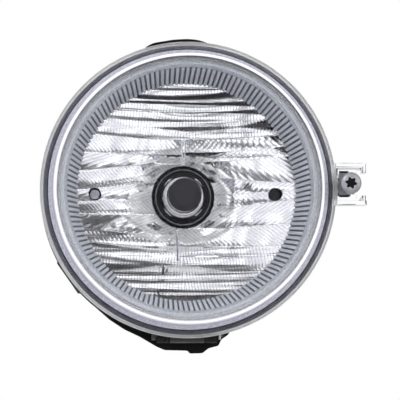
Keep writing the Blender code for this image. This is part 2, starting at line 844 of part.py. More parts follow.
# ---------------------------------------------------------------- adjuster
def make_adjuster_screw():
    """Pan-head screw with a six-lobe recess, a shoulder before the socket and an upset end behind it."""
    outline = [
        (0.0, HEAD_FRONT),
        (0.0022, HEAD_FRONT),
        (0.0033, HEAD_FRONT + 0.0006),
        (HEAD_R, HEAD_FRONT + 0.0016),
        (HEAD_R, HEAD_BACK),
        (SHANK_R, HEAD_BACK),
        (SHANK_R, 0.0254),
        (0.0031, 0.0254),
        (0.0031, 0.0266),
        (SHANK_R, 0.0266),
        (SHANK_R, 0.0340),
        (0.0027, 0.0340),
        (0.0023, SCREW_END),
        (0.0, SCREW_END),
    ]
    screw = turned("adjuster_screw", outline, ZINC, SMALL_STEPS, centre=(SCREW_X, SCREW_Z))
    lobes = []
    for i in range(24):
        angle = math.tau * i / 24
        radius = TORX_R * (0.84 + 0.16 * math.cos(6 * angle))
        lobes.append((SCREW_X + radius * math.cos(angle), SCREW_Z + radius * math.sin(angle)))
    cut(screw, plate("torx_recess", lobes, HEAD_FRONT - 0.0010, HEAD_FRONT + 0.0018))
    return screw


def make_screw_socket():
    """Nylon bush in the frame's ear, in which the screw turns but can't travel."""
    outline = [
        (0.00235, 0.0268),
        (0.0038, 0.0268),
        (0.0038, 0.0280),
        (0.0027, 0.0280),
        (0.0027, 0.0323),
        (0.0034, 0.0323),
        (0.0029, 0.0337),
        (0.00235, 0.0337),
    ]
    return turned("screw_socket", outline, NYLON, SMALL_STEPS, centre=(SCREW_X, SCREW_Z))


def make_clip_nut():
    """Folded spring-steel nut that straddles the tab. Its slot rides in the screw's thread."""
    front, back = TAB_FRONT - GAP, TAB_BACK + GAP
    low, high = SCREW_Z - CLIP_HALF, SCREW_Z + CLIP_HALF
    nut = box("clip_nut", (0.0516, front - CLIP_SHEET, low), (FOLD_X, back + CLIP_SHEET, high), SPRING_STEEL)
    inside = box("clip_inside", (0.0500, front, low - 0.001), (FOLD_X - CLIP_SHEET, back, high + 0.001))
    half = CLIP_SLOT_HALF
    round_end = half - (SHANK_R + GAP)
    slot = arc((SCREW_X, SCREW_Z + round_end), SHANK_R + GAP, 0.0, 180.0, 7)
    slot += arc((SCREW_X, SCREW_Z - round_end), SHANK_R + GAP, 180.0, 360.0, 7)
    cut(nut, inside, plate("clip_slot", slot, front - 0.002, back + 0.002))
    return nut


# ---------------------------------------------------------------- assembly
def build():
    lamp_unit = [
        make_lens(),
        make_lens_seal(),
        make_trim_ring(),
        make_reflector(),
        *make_reflector_screws(),
        make_housing(),
        make_vent_cap(),
        make_clip_nut(),
    ]
    bulb = [
        make_bulb_glass(),
        make_filament(),
        *make_lead_wires(),
        make_bulb_ferrule(),
        make_bulb_base(),
        make_bulb_seal(),
        *make_terminals(),
    ]
    make_mounting_frame()
    make_foot_sleeves()
    make_hinge_pin()
    make_pin_clip()
    make_screw_socket()
    hang_from(TURN_AXIS, make_adjuster_screw())
    hang_from(BULB_AXIS, *bulb)
    hang_from(TILT_AXIS, BULB_AXIS, *lamp_unit)


build()
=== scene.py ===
"""Looks of a round fog light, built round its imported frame.

Depths are measured back from the front edge of the lens rim, along the lamp's axis, and y_at()
turns a depth into Y. Outlines of turned pieces are closed loops of (radius, depth).
"""

import json
import math

import bmesh
import bpy
import numpy as np
from bpy.props import FloatProperty, FloatVectorProperty, IntProperty, PointerProperty
from mathutils import Matrix, Vector

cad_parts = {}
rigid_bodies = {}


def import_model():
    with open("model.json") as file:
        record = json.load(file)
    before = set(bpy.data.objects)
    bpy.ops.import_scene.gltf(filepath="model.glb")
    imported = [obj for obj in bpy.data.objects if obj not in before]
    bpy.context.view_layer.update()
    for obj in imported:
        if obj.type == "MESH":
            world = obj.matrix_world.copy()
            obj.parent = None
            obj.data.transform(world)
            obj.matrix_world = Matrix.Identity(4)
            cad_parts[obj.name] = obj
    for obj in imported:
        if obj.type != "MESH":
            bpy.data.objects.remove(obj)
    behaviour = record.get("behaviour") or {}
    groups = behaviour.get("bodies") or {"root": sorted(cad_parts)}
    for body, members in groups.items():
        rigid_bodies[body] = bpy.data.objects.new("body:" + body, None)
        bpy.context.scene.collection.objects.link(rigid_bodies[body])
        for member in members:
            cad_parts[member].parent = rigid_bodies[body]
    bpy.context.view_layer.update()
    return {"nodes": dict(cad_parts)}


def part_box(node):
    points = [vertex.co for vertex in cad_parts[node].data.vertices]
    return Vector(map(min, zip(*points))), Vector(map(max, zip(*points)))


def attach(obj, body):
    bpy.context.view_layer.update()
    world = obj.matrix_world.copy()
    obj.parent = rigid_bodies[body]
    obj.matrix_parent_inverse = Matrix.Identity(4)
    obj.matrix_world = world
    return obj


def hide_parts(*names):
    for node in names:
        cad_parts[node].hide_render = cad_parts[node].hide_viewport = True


bl_info = {
    "name": "Fog Light",
    "version": (1, 0, 0),
    "blender": (4, 5, 0),
    "location": "View3D > Sidebar > Fog Light",
    "description": "Builds a round fog light with a faceted mirror, piece by piece",
    "category": "Add Mesh",
}

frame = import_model()

# ---------------------------------------------------------------- sizes read from the frame
LENS_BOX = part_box("lens")
TRIM_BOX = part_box("trim_ring")
SCREW_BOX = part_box("adjuster_screw")
CLIP_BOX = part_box("clip_nut")
PIN_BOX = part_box("hinge_pin")
VENT_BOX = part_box("vent_cap")
GLASS_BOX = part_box("bulb_glass")

LENS_CROWN = 0.0060
RIM_Y = LENS_BOX[0].y + LENS_CROWN
RIM_R = -LENS_BOX[0].x
SCREW_X = (SCREW_BOX[0].x + SCREW_BOX[1].x) / 2
SCREW_Z = (SCREW_BOX[0].z + SCREW_BOX[1].z) / 2
HINGE_Y = (PIN_BOX[0].y + PIN_BOX[1].y) / 2
HINGE_Z = (PIN_BOX[0].z + PIN_BOX[1].z) / 2
VENT_X = (VENT_BOX[0].x + VENT_BOX[1].x) / 2
VENT_Z = (VENT_BOX[0].z + VENT_BOX[1].z) / 2

# mirror
FOCAL = 0.0125
VERTEX_DEPTH = 0.0570
DISH_R = 0.0384
BULB_HOLE_R = 0.0113
PIN_HOLE_X = 0.0318
PIN_HOLE_R = 0.0023
# the mirror's holes: the X of the centre, all at Z 0, and the radius
MIRROR_HOLES = ((0.0, BULB_HOLE_R), (-PIN_HOLE_X, PIN_HOLE_R), (PIN_HOLE_X, PIN_HOLE_R))

# where the housing's tongue sits in the lens's groove
SKIRT_R = 0.0447
GROOVE_IN_R = 0.0481
GROOVE_OUT_R = 0.0499
GROOVE_DEPTH = 0.0108
LENS_BACK = 0.0140

# hinge below the lamp
KNUCKLE_R = 0.0036
HINGE_BORE_R = 0.0018

WHITE = (1.0, 1.0, 1.0)


def y_at(depth):
    return RIM_Y + depth


def depth_of(y):
    return y - RIM_Y


# ---------------------------------------------------------------- settings
class FogLightSettings(bpy.types.PropertyGroup):
    flute_count: IntProperty(
        name="Trim flutes", description="Grooves round the trim ring", default=145, min=24, max=240
    )
    flute_height: FloatProperty(
        name="Flute height",
        description="How far the ridges of the trim ring stand up",
        default=0.00055,
        min=0.0,
        unit="LENGTH",
    )
    facet_slope: FloatProperty(
        name="Facet slope",
        description="How steeply each strip of the mirror curves at its edges",
        default=0.16,
        min=0.0,
        max=0.6,
    )
    ripple_pitch: FloatProperty(
        name="Ripple pitch",
        description="Width of the fine flutes on the mirror's strips",
        default=0.00105,
        min=0.0004,
        unit="LENGTH",
    )
    ripple_slope: FloatProperty(
        name="Ripple slope",
        description="How steep the fine flutes are at their edges",
        default=0.022,
        min=0.0,
        max=0.6,
    )
    mirror_colour: FloatVectorProperty(
        name="Mirror colour",
        description="Colour of the bright coat",
        subtype="COLOR",
        size=3,
        default=(0.965, 0.965, 0.98),
        min=0.0,
        max=1.0,
    )
    trim_colour: FloatVectorProperty(
        name="Trim colour",
        description="Colour of the grained silver coat",
        subtype="COLOR",
        size=3,
        default=(0.40, 0.415, 0.45),
        min=0.0,
        max=1.0,
    )
    plastic_colour: FloatVectorProperty(
        name="Plastic colour",
        description="Colour of the black mouldings",
        subtype="COLOR",
        size=3,
        default=(0.0024, 0.0024, 0.0027),
        min=0.0,
        max=1.0,
    )
    lens_colour: FloatVectorProperty(
        name="Lens colour",
        description="Tint of the clear lens",
        subtype="COLOR",
        size=3,
        default=(0.97, 0.975, 0.985),
        min=0.0,
        max=1.0,
    )


# ---------------------------------------------------------------- shaping tools
def arc(centre, radius, start, end, count):
    """Points on a circle from one angle to the other, in degrees."""
    turn = math.radians(end - start) / (count - 1)
    first = math.radians(start)
    return [
        (centre[0] + radius * math.cos(first + i * turn), centre[1] + radius * math.sin(first + i * turn))
        for i in range(count)
    ]


def at_angle(radius, degrees):
    return radius * math.cos(math.radians(degrees)), radius * math.sin(math.radians(degrees))


def rounded(outline, radius, steps=4, closed=True):
    """The outline with each corner rounded, as far as its sides allow."""
    points = [Vector(p) for p in outline]
    count = len(points)
    made = []
    for i, corner in enumerate(points):
        on_axis = corner.x == 0.0
        if on_axis or (not closed and i in (0, count - 1)):
            made.append(tuple(corner))
            continue
        before, after = points[i - 1], points[(i + 1) % count]
        to_before, to_after = before - corner, after - corner
        reach = min(radius, to_before.length * 0.45, to_after.length * 0.45)
        start = corner + to_before.normalized() * reach
        end = corner + to_after.normalized() * reach
        for k in range(steps + 1):
            t = k / steps
            made.append(tuple(start * (1 - t) ** 2 + corner * 2 * t * (1 - t) + end * t**2))
    return made


def signed_area(outline):
    return 0.5 * sum(a[0] * b[1] - b[0] * a[1] for a, b in zip(outline, outline[1:] + outline[:1]))


def new_object(name, vertices, faces, angle=30.0):
    mesh = bpy.data.meshes.new(name)
    mesh.from_pydata(vertices, [], faces)
    mesh.validate()
    made = bpy.data.objects.new(name, mesh)
    bpy.context.scene.collection.objects.link(made)
    smooth(made, angle)
    return made


def smooth(obj, angle=30.0):
    obj.data.shade_smooth()
    obj.data.set_sharp_from_angle(angle=math.radians(angle))
    return obj


def turned(name, outline, steps=128, centre=(0.0, 0.0), angle=30.0, shape=None):
    """A solid turned about a line along Y. shape(angle, radius, depth) adds to a point's radius."""
    outline = list(outline)
    if signed_area(outline) < 0:
        outline.reverse()
    on_axis = [i for i, p in enumerate(outline) if p[0] == 0.0]
    if on_axis:
        while outline[0][0] != 0.0 or outline[-1][0] != 0.0:
            outline = outline[1:] + outline[:1]
    vertices, rows = [], []
    for radius, depth in outline:
        if radius == 0.0:
            rows.append([len(vertices)] * steps)
            vertices.append((centre[0], y_at(depth), centre[1]))
            continue
        rows.append(range(len(vertices), len(vertices) + steps))
        for k in range(steps):
            turn = math.tau * k / steps
            r = radius + (shape(turn, radius, depth) if shape else 0.0)
            vertices.append((centre[0] + r * math.cos(turn), y_at(depth), centre[1] + r * math.sin(turn)))
    faces = []
    last = len(rows) - 1 if on_axis else len(rows)
    for i in range(last):
        low, high = rows[i], rows[(i + 1) % len(rows)]
        for k in range(steps):
            n = (k + 1) % steps
            corners = [low[k], high[k], high[n], low[n]]
            faces.append(list(dict.fromkeys(corners)))
    return new_object(name, vertices, faces, angle)


def prism(name, near, far, angle=30.0):
    """A solid between two ends, which are loops with the same number of points."""
    count = len(near)
    faces = [list(range(count)), list(range(2 * count - 1, count - 1, -1))]
    faces += [[i, i + count, (i + 1) % count + count, (i + 1) % count] for i in range(count)]
    return new_object(name, near + far, faces, angle)


def plate(name, outline, front, back, angle=30.0):
    """A flat outline of (x, z) points that runs from one depth to another."""
    outline = list(outline)
    if signed_area(outline) < 0:
        outline.reverse()
    near, far = ([(x, y_at(depth), z) for x, z in outline] for depth in (front, back))
    return prism(name, near, far, angle)


def block(name, low, high, turn=0.0):
    """A box from low to high, each (x, depth, z), turned about the lamp's axis by turn degrees."""
    corners = [(low[0], low[2]), (high[0], low[2]), (high[0], high[2]), (low[0], high[2])]
    made = plate(name, corners, low[1], high[1])
    made.data.transform(Matrix.Rotation(-math.radians(turn), 4, "Y"))
    return made


def rod(name, radius, start, end, steps=32):
    """A round bar between two points, each (x, depth, z)."""
    first = Vector((start[0], y_at(start[1]), start[2]))
    last = Vector((end[0], y_at(end[1]), end[2]))
    along = last - first
    form = bmesh.new()
    bmesh.ops.create_cone(
        form, cap_ends=True, segments=steps, radius1=radius, radius2=radius, depth=along.length
    )
    place = Matrix.Translation((first + last) / 2) @ along.to_track_quat("Z", "Y").to_matrix().to_4x4()
    spin = Matrix.Rotation(math.radians(3.3), 4, "Z")
    bmesh.ops.transform(form, matrix=place @ spin, verts=form.verts)
    mesh = bpy.data.meshes.new(name)
    form.to_mesh(mesh)
    form.free()
    made = bpy.data.objects.new(name, mesh)
    bpy.context.scene.collection.objects.link(made)
    return smooth(made)


def settled(obj):
    """Applies an object's modifiers to its mesh."""
    bpy.context.view_layer.update()
    graph = bpy.context.evaluated_depsgraph_get()
    mesh = bpy.data.meshes.new_from_object(obj.evaluated_get(graph))
    obj.modifiers.clear()
    obj.data = mesh
    return obj


def shaped(target, add=(), cut=(), angle=30.0):
    """Joins pieces to the target, then cuts others out of it."""
    for operation, others in (("UNION", add), ("DIFFERENCE", cut)):
        for other in others:
            step = target.modifiers.new(other.name, "BOOLEAN")
            step.operation = operation
            step.object = other
    settled(target)
    for other in (*add, *cut):
        bpy.data.objects.remove(other)
    return smooth(target, angle)


def softened(obj, width, segments=3, angle=35.0):
    """Rounds an object's sharp edges."""
    weld = obj.modifiers.new("weld", "WELD")
    weld.merge_threshold = 0.00001
    bevel = obj.modifiers.new("edges", "BEVEL")
    bevel.width = width
    bevel.segments = segments
    bevel.limit_method = "ANGLE"
    bevel.angle_limit = math.radians(angle)
    bevel.use_clamp_overlap = True
    bevel.harden_normals = False
    settled(obj)
    return smooth(obj, 40.0)


def joined(name, objects):
    """One object made of several that don't meet."""
    form = bmesh.new()
    for obj in objects:
        obj.data.transform(obj.matrix_world)
        form.from_mesh(obj.data)
    mesh = bpy.data.meshes.new(name)
    form.to_mesh(mesh)
    form.free()
    for obj in objects:
        bpy.data.objects.remove(obj)
    made = bpy.data.objects.new(name, mesh)
    bpy.context.scene.collection.objects.link(made)
    return made


def fitted(piece, material, body, slot, *nodes):
    """Gives a finished piece its material and its body, and hides the nodes it stands for. The slot is not used.
    """
    piece.data.materials.clear()
    piece.data.materials.append(material)
    if nodes:
        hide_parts(*nodes)
    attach(piece, body)
    return piece


def refinish(node, material, width=0.00015):
    """Keeps a node of the frame, with softer edges and a better finish."""
    obj = frame["nodes"][node]
    obj.data.materials.clear()
    obj.data.materials.append(material)
    bevel = obj.modifiers.new("edges", "BEVEL")
    bevel.width = width
    bevel.segments = 2
    bevel.limit_method = "ANGLE"
    bevel.angle_limit = math.radians(40)
    return obj


# ---------------------------------------------------------------- shared shader effects
def add_node(tree, kind, values=None, **settings):
    node = tree.nodes.new(kind)
    for name, value in settings.items():
        setattr(node, name, value)
    for name, value in (values or {}).items():
        node.inputs[name].default_value = value
    return node


def effect(name, inputs, outputs):
    """An empty node group with named sockets. Inputs carry their default values."""
    tree = bpy.data.node_groups.new(name, "ShaderNodeTree")
    for label, value in inputs.items():
        kind = "NodeSocketColor" if isinstance(value, tuple) else "NodeSocketFloat"
        socket = tree.interface.new_socket(label, in_out="INPUT", socket_type=kind)
        socket.default_value = value
    for label in outputs:
        kind = "NodeSocketColor" if label == "Colour" else "NodeSocketFloat"
        tree.interface.new_socket(label, in_out="OUTPUT", socket_type=kind)
    return tree, tree.nodes.new("NodeGroupInput"), tree.nodes.new("NodeGroupOutput")


def grain_effect():
    """Moulded grain: a height for bump, and a patchy tone from 0 to 1."""
    tree, start, end = effect("moulded_grain", {"Scale": 4000.0, "Patch Scale": 120.0}, ("Height", "Tone"))
    place = add_node(tree, "ShaderNodeTexCoord")
    fine = add_node(tree, "ShaderNodeTexNoise", {"Detail": 3.0, "Roughness": 0.6})
    cells = add_node(tree, "ShaderNodeTexVoronoi", feature="SMOOTH_F1")
    patch = add_node(tree, "ShaderNodeTexNoise", {"Detail": 4.0, "Roughness": 0.55})
    both = add_node(tree, "ShaderNodeMath", operation="ADD")
    for texture in (fine, cells, patch):
        tree.links.new(place.outputs["Object"], texture.inputs["Vector"])
    tree.links.new(start.outputs["Scale"], fine.inputs["Scale"])
    tree.links.new(start.outputs["Scale"], cells.inputs["Scale"])
    tree.links.new(start.outputs["Patch Scale"], patch.inputs["Scale"])
    tree.links.new(fine.outputs["Fac"], both.inputs[0])
    tree.links.new(cells.outputs["Distance"], both.inputs[1])
    tree.links.new(both.outputs[0], end.inputs["Height"])
    spread(tree, patch.outputs["Fac"], 0.0, 1.0, end.inputs["Tone"], 0.3, 0.7)
    return tree


def wear_effect():
    """Edge wear: a mask that is 1 on worn edges, broken up by noise."""
    tree, start, end = effect("edge_wear", {"Amount": 0.5, "Scale": 600.0}, ("Mask",))
    shape = add_node(tree, "ShaderNodeNewGeometry")
    place = add_node(tree, "ShaderNodeTexCoord")
    noise = add_node(tree, "ShaderNodeTexNoise", {"Detail": 5.0, "Roughness": 0.7})
    edge = add_node(tree, "ShaderNodeMapRange", {"From Min": 0.52, "From Max": 0.60})
    broken = add_node(tree, "ShaderNodeMapRange", {"From Min": 0.42, "From Max": 0.62})
    both = add_node(tree, "ShaderNodeMath", operation="MULTIPLY")
    scaled = add_node(tree, "ShaderNodeMath", operation="MULTIPLY")
    tree.links.new(place.outputs["Object"], noise.inputs["Vector"])
    tree.links.new(start.outputs["Scale"], noise.inputs["Scale"])
    tree.links.new(shape.outputs["Pointiness"], edge.inputs["Value"])
    tree.links.new(noise.outputs["Fac"], broken.inputs["Value"])
    tree.links.new(edge.outputs["Result"], both.inputs[0])
    tree.links.new(broken.outputs["Result"], both.inputs[1])
    tree.links.new(both.outputs[0], scaled.inputs[0])
    tree.links.new(start.outputs["Amount"], scaled.inputs[1])
    tree.links.new(scaled.outputs[0], end.inputs["Mask"])
    return tree


def dust_effect():
    """Dust: a mask that gathers on faces that look up, in soft patches."""
    tree, start, end = effect("settled_dust", {"Amount": 0.3, "Scale": 90.0}, ("Mask",))
    shape = add_node(tree, "ShaderNodeNewGeometry")
    place = add_node(tree, "ShaderNodeTexCoord")
    noise = add_node(tree, "ShaderNodeTexNoise", {"Detail": 6.0, "Roughness": 0.65})
    split = add_node(tree, "ShaderNodeSeparateXYZ")
    upward = add_node(tree, "ShaderNodeMapRange", {"From Min": -0.4, "From Max": 1.0})
    patchy = add_node(tree, "ShaderNodeMapRange", {"From Min": 0.35, "From Max": 0.75})
    both = add_node(tree, "ShaderNodeMath", operation="MULTIPLY")
    scaled = add_node(tree, "ShaderNodeMath", operation="MULTIPLY")
    tree.links.new(place.outputs["Object"], noise.inputs["Vector"])
    tree.links.new(start.outputs["Scale"], noise.inputs["Scale"])
    tree.links.new(shape.outputs["Normal"], split.inputs[0])
    tree.links.new(split.outputs["Z"], upward.inputs["Value"])
    tree.links.new(noise.outputs["Fac"], patchy.inputs["Value"])
    tree.links.new(upward.outputs["Result"], both.inputs[0])
    tree.links.new(patchy.outputs["Result"], both.inputs[1])
    tree.links.new(both.outputs[0], scaled.inputs[0])
    tree.links.new(start.outputs["Amount"], scaled.inputs[1])
    tree.links.new(scaled.outputs[0], end.inputs["Mask"])
    return tree


def ring_effect():
    """Measures from the lamp's axis: a point's radius and its Y, in metres."""
    tree, _, end = effect("ring_measure", {}, ("Radius", "Along"))
    place = add_node(tree, "ShaderNodeTexCoord")
    split = add_node(tree, "ShaderNodeSeparateXYZ")
    flat = add_node(tree, "ShaderNodeCombineXYZ")
    length = add_node(tree, "ShaderNodeVectorMath", operation="LENGTH")
    tree.links.new(place.outputs["Object"], split.inputs[0])
    tree.links.new(split.outputs["X"], flat.inputs["X"])
    tree.links.new(split.outputs["Z"], flat.inputs["Y"])
    tree.links.new(flat.outputs[0], length.inputs[0])
    tree.links.new(length.outputs["Value"], end.inputs["Radius"])
    tree.links.new(split.outputs["Y"], end.inputs["Along"])
    return tree


EFFECTS = {
    "moulded_grain": grain_effect,
    "edge_wear": wear_effect,
    "settled_dust": dust_effect,
    "ring_measure": ring_effect,
}


def shared(name):
    """The node group of that name, made the first time that it is asked for."""
    return bpy.data.node_groups.get(name) or EFFECTS[name]()


def place_effect(tree, name, **values):
    node = tree.nodes.new("ShaderNodeGroup")
    node.node_tree = shared(name)
    for label, value in values.items():
        node.inputs[label.replace("_", " ")].default_value = value
    return node


# ---------------------------------------------------------------- materials
def new_material(name, colour, roughness, metallic=0.0, **more):
    """A Principled material. Returns its node tree and its shader too."""
    made = bpy.data.materials.new(name)
    made.use_nodes = True
    shader = made.node_tree.nodes["Principled BSDF"]
    shader.inputs["Base Color"].default_value = (*colour, 1.0)
    shader.inputs["Roughness"].default_value = roughness
    shader.inputs["Metallic"].default_value = metallic
    for label, value in more.items():
        shader.inputs[label.replace("_", " ")].default_value = value
    return made, made.node_tree, shader


def spread(tree, source, low, high, target, start=0.0, end=1.0):
    """Feeds a value into a socket, with the range from start to end turned into low to high."""
    ranged = add_node(
        tree, "ShaderNodeMapRange", {"From Min": start, "From Max": end, "To Min": low, "To Max": high}
    )
    tree.links.new(source, ranged.inputs["Value"])
    tree.links.new(ranged.outputs["Result"], target)


def toned(tree, source, first, second, target):
    """Feeds a socket with a colour between first and second."""
    mix = add_node(tree, "ShaderNodeMix", data_type="RGBA")
    mix.inputs[6].default_value = (*first, 1.0)
    mix.inputs[7].default_value = (*second, 1.0)
    tree.links.new(source, mix.inputs[0])
    tree.links.new(mix.outputs[2], target)
    return mix


def covered(tree, mask, under, over, target):
    """Feeds a socket with an earlier colour, under a plain one that shows where the mask is 1."""
    mix = toned(tree, mask, over, over, target)
    tree.links.new(under, mix.inputs[6])
    return mix


def bumped(tree, shader, height, strength, distance):
    bump = add_node(tree, "ShaderNodeBump", {"Strength": strength, "Distance": distance})
    tree.links.new(height, bump.inputs["Height"])
    tree.links.new(bump.outputs["Normal"], shader.inputs["Normal"])
    return bump


def let_light_through(tree, shader):
    """Shadow rays pass straight through, so that lights reach what is behind the clear piece."""
    output = tree.nodes["Material Output"]
    path = add_node(tree, "ShaderNodeLightPath")
    clear = add_node(tree, "ShaderNodeBsdfTransparent")
    mix = add_node(tree, "ShaderNodeMixShader")
    tree.links.new(path.outputs["Is Shadow Ray"], mix.inputs[0])
    tree.links.new(shader.outputs[0], mix.inputs[1])
    tree.links.new(clear.outputs[0], mix.inputs[2])
    tree.links.new(mix.outputs[0], output.inputs["Surface"])


def clear_plastic(settings):
    """Clear in the face and the tab, a little dull over the flange, tinted and frosted on its lip."""
    made, tree, shader = new_material(
        "clear_polycarbonate",
        settings.lens_colour,
        0.02,
        Transmission_Weight=1.0,
        IOR=1.49,
        Specular_Tint=(0.10, 0.10, 0.11, 1.0),
    )
    measure = place_effect(tree, "ring_measure")
    grain = place_effect(tree, "moulded_grain", Scale=1800.0, Patch_Scale=60.0)
    # zones by radius, from 44 mm to 52 mm
    radius = add_node(tree, "ShaderNodeMapRange", {"From Min": 0.0440, "From Max": 0.0520})
    tree.links.new(measure.outputs["Radius"], radius.inputs["Value"])
    tint = ramp(
        tree,
        radius.outputs["Result"],
        [(0.0, 0.0), (0.73, 0.0), (0.75, 0.2), (0.875, 0.3), (0.89, 0.0), (1.0, 0.0)],
    )
    frost = ramp(
        tree,
        radius.outputs["Result"],
        [
            (0.0, 0.0), (0.30, 0.0), (0.36, 0.3), (0.73, 0.3), (0.75, 0.9), (0.875, 0.9), (0.89, 0.0),
            (1.0, 0.0),
        ],
    )
    # painted shade: beyond the flange, faces seen edge-on get a dark colour, standing in for the dark edges of
    # the clear walls
    facing = add_node(tree, "ShaderNodeLayerWeight", {"Blend": 0.5})
    grazing = add_node(tree, "ShaderNodeMapRange", {"From Min": 0.55, "From Max": 0.9})
    tree.links.new(facing.outputs["Facing"], grazing.inputs["Value"])
    beyond = add_node(tree, "ShaderNodeMapRange", {"From Min": 0.0512, "From Max": 0.0514})
    tree.links.new(measure.outputs["Radius"], beyond.inputs["Value"])
    edge = add_node(tree, "ShaderNodeMath", operation="MULTIPLY")
    tree.links.new(grazing.outputs["Result"], edge.inputs[0])
    tree.links.new(beyond.outputs["Result"], edge.inputs[1])
    zoned = toned(tree, tint, tuple(settings.lens_colour), (0.20, 0.20, 0.24), shader.inputs["Base Color"])
    covered(tree, edge.outputs[0], zoned.outputs[2], (0.01, 0.01, 0.013), shader.inputs["Base Color"])
    spread(tree, frost, 0.012, 0.7, shader.inputs["Roughness"])
    let_light_through(tree, shader)
    bumped(tree, shader, grain.outputs["Height"], 0.05, 0.00004)
    return made


def frosted_plastic():
    """Sandy silver skin seen through the lens's skirt and flange, with a painted highlight: a white ring on the
    shoulder.
    """
    light = (0.5, 0.5, 0.58)
    made, tree, shader = new_material("frosted_polycarbonate", light, 0.5, 0.3)
    grain = place_effect(tree, "moulded_grain", Scale=1900.0, Patch_Scale=1700.0)
    sand = toned(tree, grain.outputs["Tone"], (0.24, 0.24, 0.29), light, shader.inputs["Base Color"])
    measure = place_effect(tree, "ring_measure")
    # painted highlight: a white, non-metallic ring on the shoulder, by radius from 45.0 mm to 46.6 mm
    radius = add_node(tree, "ShaderNodeMapRange", {"From Min": 0.0450, "From Max": 0.0466})
    tree.links.new(measure.outputs["Radius"], radius.inputs["Value"])
    shoulder = ramp(
        tree,
        radius.outputs["Result"],
        [(0.0, 0.2), (0.2, 0.45), (0.38, 1.0), (0.55, 1.0), (0.75, 0.55), (1.0, 0.0)],
    )
    covered(tree, shoulder, sand.outputs[2], (0.86, 0.86, 0.90), shader.inputs["Base Color"])
    spread(tree, shoulder, 0.3, 0.0, shader.inputs["Metallic"])
    bumped(tree, shader, grain.outputs["Height"], 0.5, 0.0001)
    return made


def sealant():
    """Dark grey sealant, seen through the flange."""
    dark, light = (0.050, 0.050, 0.065), (0.080, 0.080, 0.100)
    made, tree, shader = new_material("grey_sealant", light, 0.6)
    grain = place_effect(tree, "moulded_grain", Scale=1600.0, Patch_Scale=300.0)
    toned(tree, grain.outputs["Tone"], dark, light, shader.inputs["Base Color"])
    bumped(tree, shader, grain.outputs["Height"], 0.4, 0.00005)
    return made


def mirror_coat(settings):
    """Bright vacuum coat, with fine flutes that follow each strip's own count."""
    made, tree, shader = new_material("aluminised_mirror", settings.mirror_colour, 0.07, 1.0)
    grain = place_effect(tree, "moulded_grain", Scale=2500.0, Patch_Scale=180.0)
    first = tuple(settings.mirror_colour)
    second = tuple(c * 0.93 for c in first)
    coat = toned(tree, grain.outputs["Tone"], first, second, shader.inputs["Base Color"])
    spread(tree, grain.outputs["Tone"], 0.025, 0.06, shader.inputs["Roughness"])
    count = add_node(tree, "ShaderNodeAttribute", attribute_name="flutes")
    swing = add_node(tree, "ShaderNodeMath", operation="PINGPONG")
    swing.inputs[1].default_value = 0.5
    cusp = add_node(tree, "ShaderNodeMath", operation="POWER")
    cusp.inputs[1].default_value = 3.0
    tree.links.new(count.outputs["Fac"], swing.inputs[0])
    tree.links.new(swing.outputs[0], cusp.inputs[0])
    # painted shade: a grey line along each cusp, standing in for the dark line that the cusp reflects
    cusp_shade_line = add_node(tree, "ShaderNodeMapRange", {"From Min": 0.34, "From Max": 0.5, "To Max": 0.6})
    tree.links.new(swing.outputs[0], cusp_shade_line.inputs["Value"])
    covered(tree, cusp_shade_line.outputs["Result"], coat.outputs[2], (0.45, 0.45, 0.48), shader.inputs["Base Color"])
    # the power's slope at the cusp is 0.75 for each flute of one pitch
    height = settings.ripple_slope * settings.ripple_pitch / 0.75
    bumped(tree, shader, cusp.outputs[0], 1.0, height)
    return made


def grained_silver(settings):
    """Sandy satin silver. Past the lip it is paler on the ridges, with painted shade darkening the grooves
    between them.
    """
    made, tree, shader = new_material("grained_silver", settings.trim_colour, 0.42, 0.7)
    grain = place_effect(tree, "moulded_grain", Scale=1900.0, Patch_Scale=1700.0)
    first = tuple(c * 0.8 for c in settings.trim_colour)
    second = tuple(min(1.0, c * 1.35) for c in settings.trim_colour)
    sand = toned(tree, grain.outputs["Tone"], first, second, shader.inputs["Base Color"])
    measure = place_effect(tree, "ring_measure")
    slope = (CONE_END[0] - CONE_START[0]) / (CONE_END[1] - CONE_START[1])
    along = add_node(tree, "ShaderNodeMath", operation="MULTIPLY_ADD")
    along.inputs[1].default_value = -slope
    along.inputs[2].default_value = slope * y_at(CONE_START[1]) - CONE_START[0] + settings.flute_height
    tree.links.new(measure.outputs["Along"], along.inputs[0])
    drop = add_node(tree, "ShaderNodeMath", operation="ADD")
    tree.links.new(measure.outputs["Radius"], drop.inputs[0])
    tree.links.new(along.outputs[0], drop.inputs[1])
    groove = add_node(tree, "ShaderNodeMapRange", {"From Min": 0.0001, "From Max": settings.flute_height})
    tree.links.new(drop.outputs[0], groove.inputs["Value"])
    inside = add_node(tree, "ShaderNodeMath", operation="GREATER_THAN")
    inside.inputs[1].default_value = y_at(CONE_START[1])
    tree.links.new(measure.outputs["Along"], inside.inputs[0])
    # painted shade: the colour darkens the deeper a point lies in a groove, standing in for the shadow there
    shade = add_node(tree, "ShaderNodeMath", operation="MULTIPLY")
    tree.links.new(groove.outputs["Result"], shade.inputs[0])
    tree.links.new(inside.outputs[0], shade.inputs[1])
    ridges = covered(tree, inside.outputs[0], sand.outputs[2], (0.62, 0.64, 0.70), shader.inputs["Base Color"])
    covered(tree, shade.outputs[0], ridges.outputs[2], (0.10, 0.11, 0.13), shader.inputs["Base Color"])
    spread(tree, inside.outputs[0], 0.75, 0.3, shader.inputs["Metallic"])
    spread(tree, grain.outputs["Tone"], 0.34, 0.5, shader.inputs["Roughness"])
    bumped(tree, shader, grain.outputs["Height"], 0.6, 0.00012)
    return made


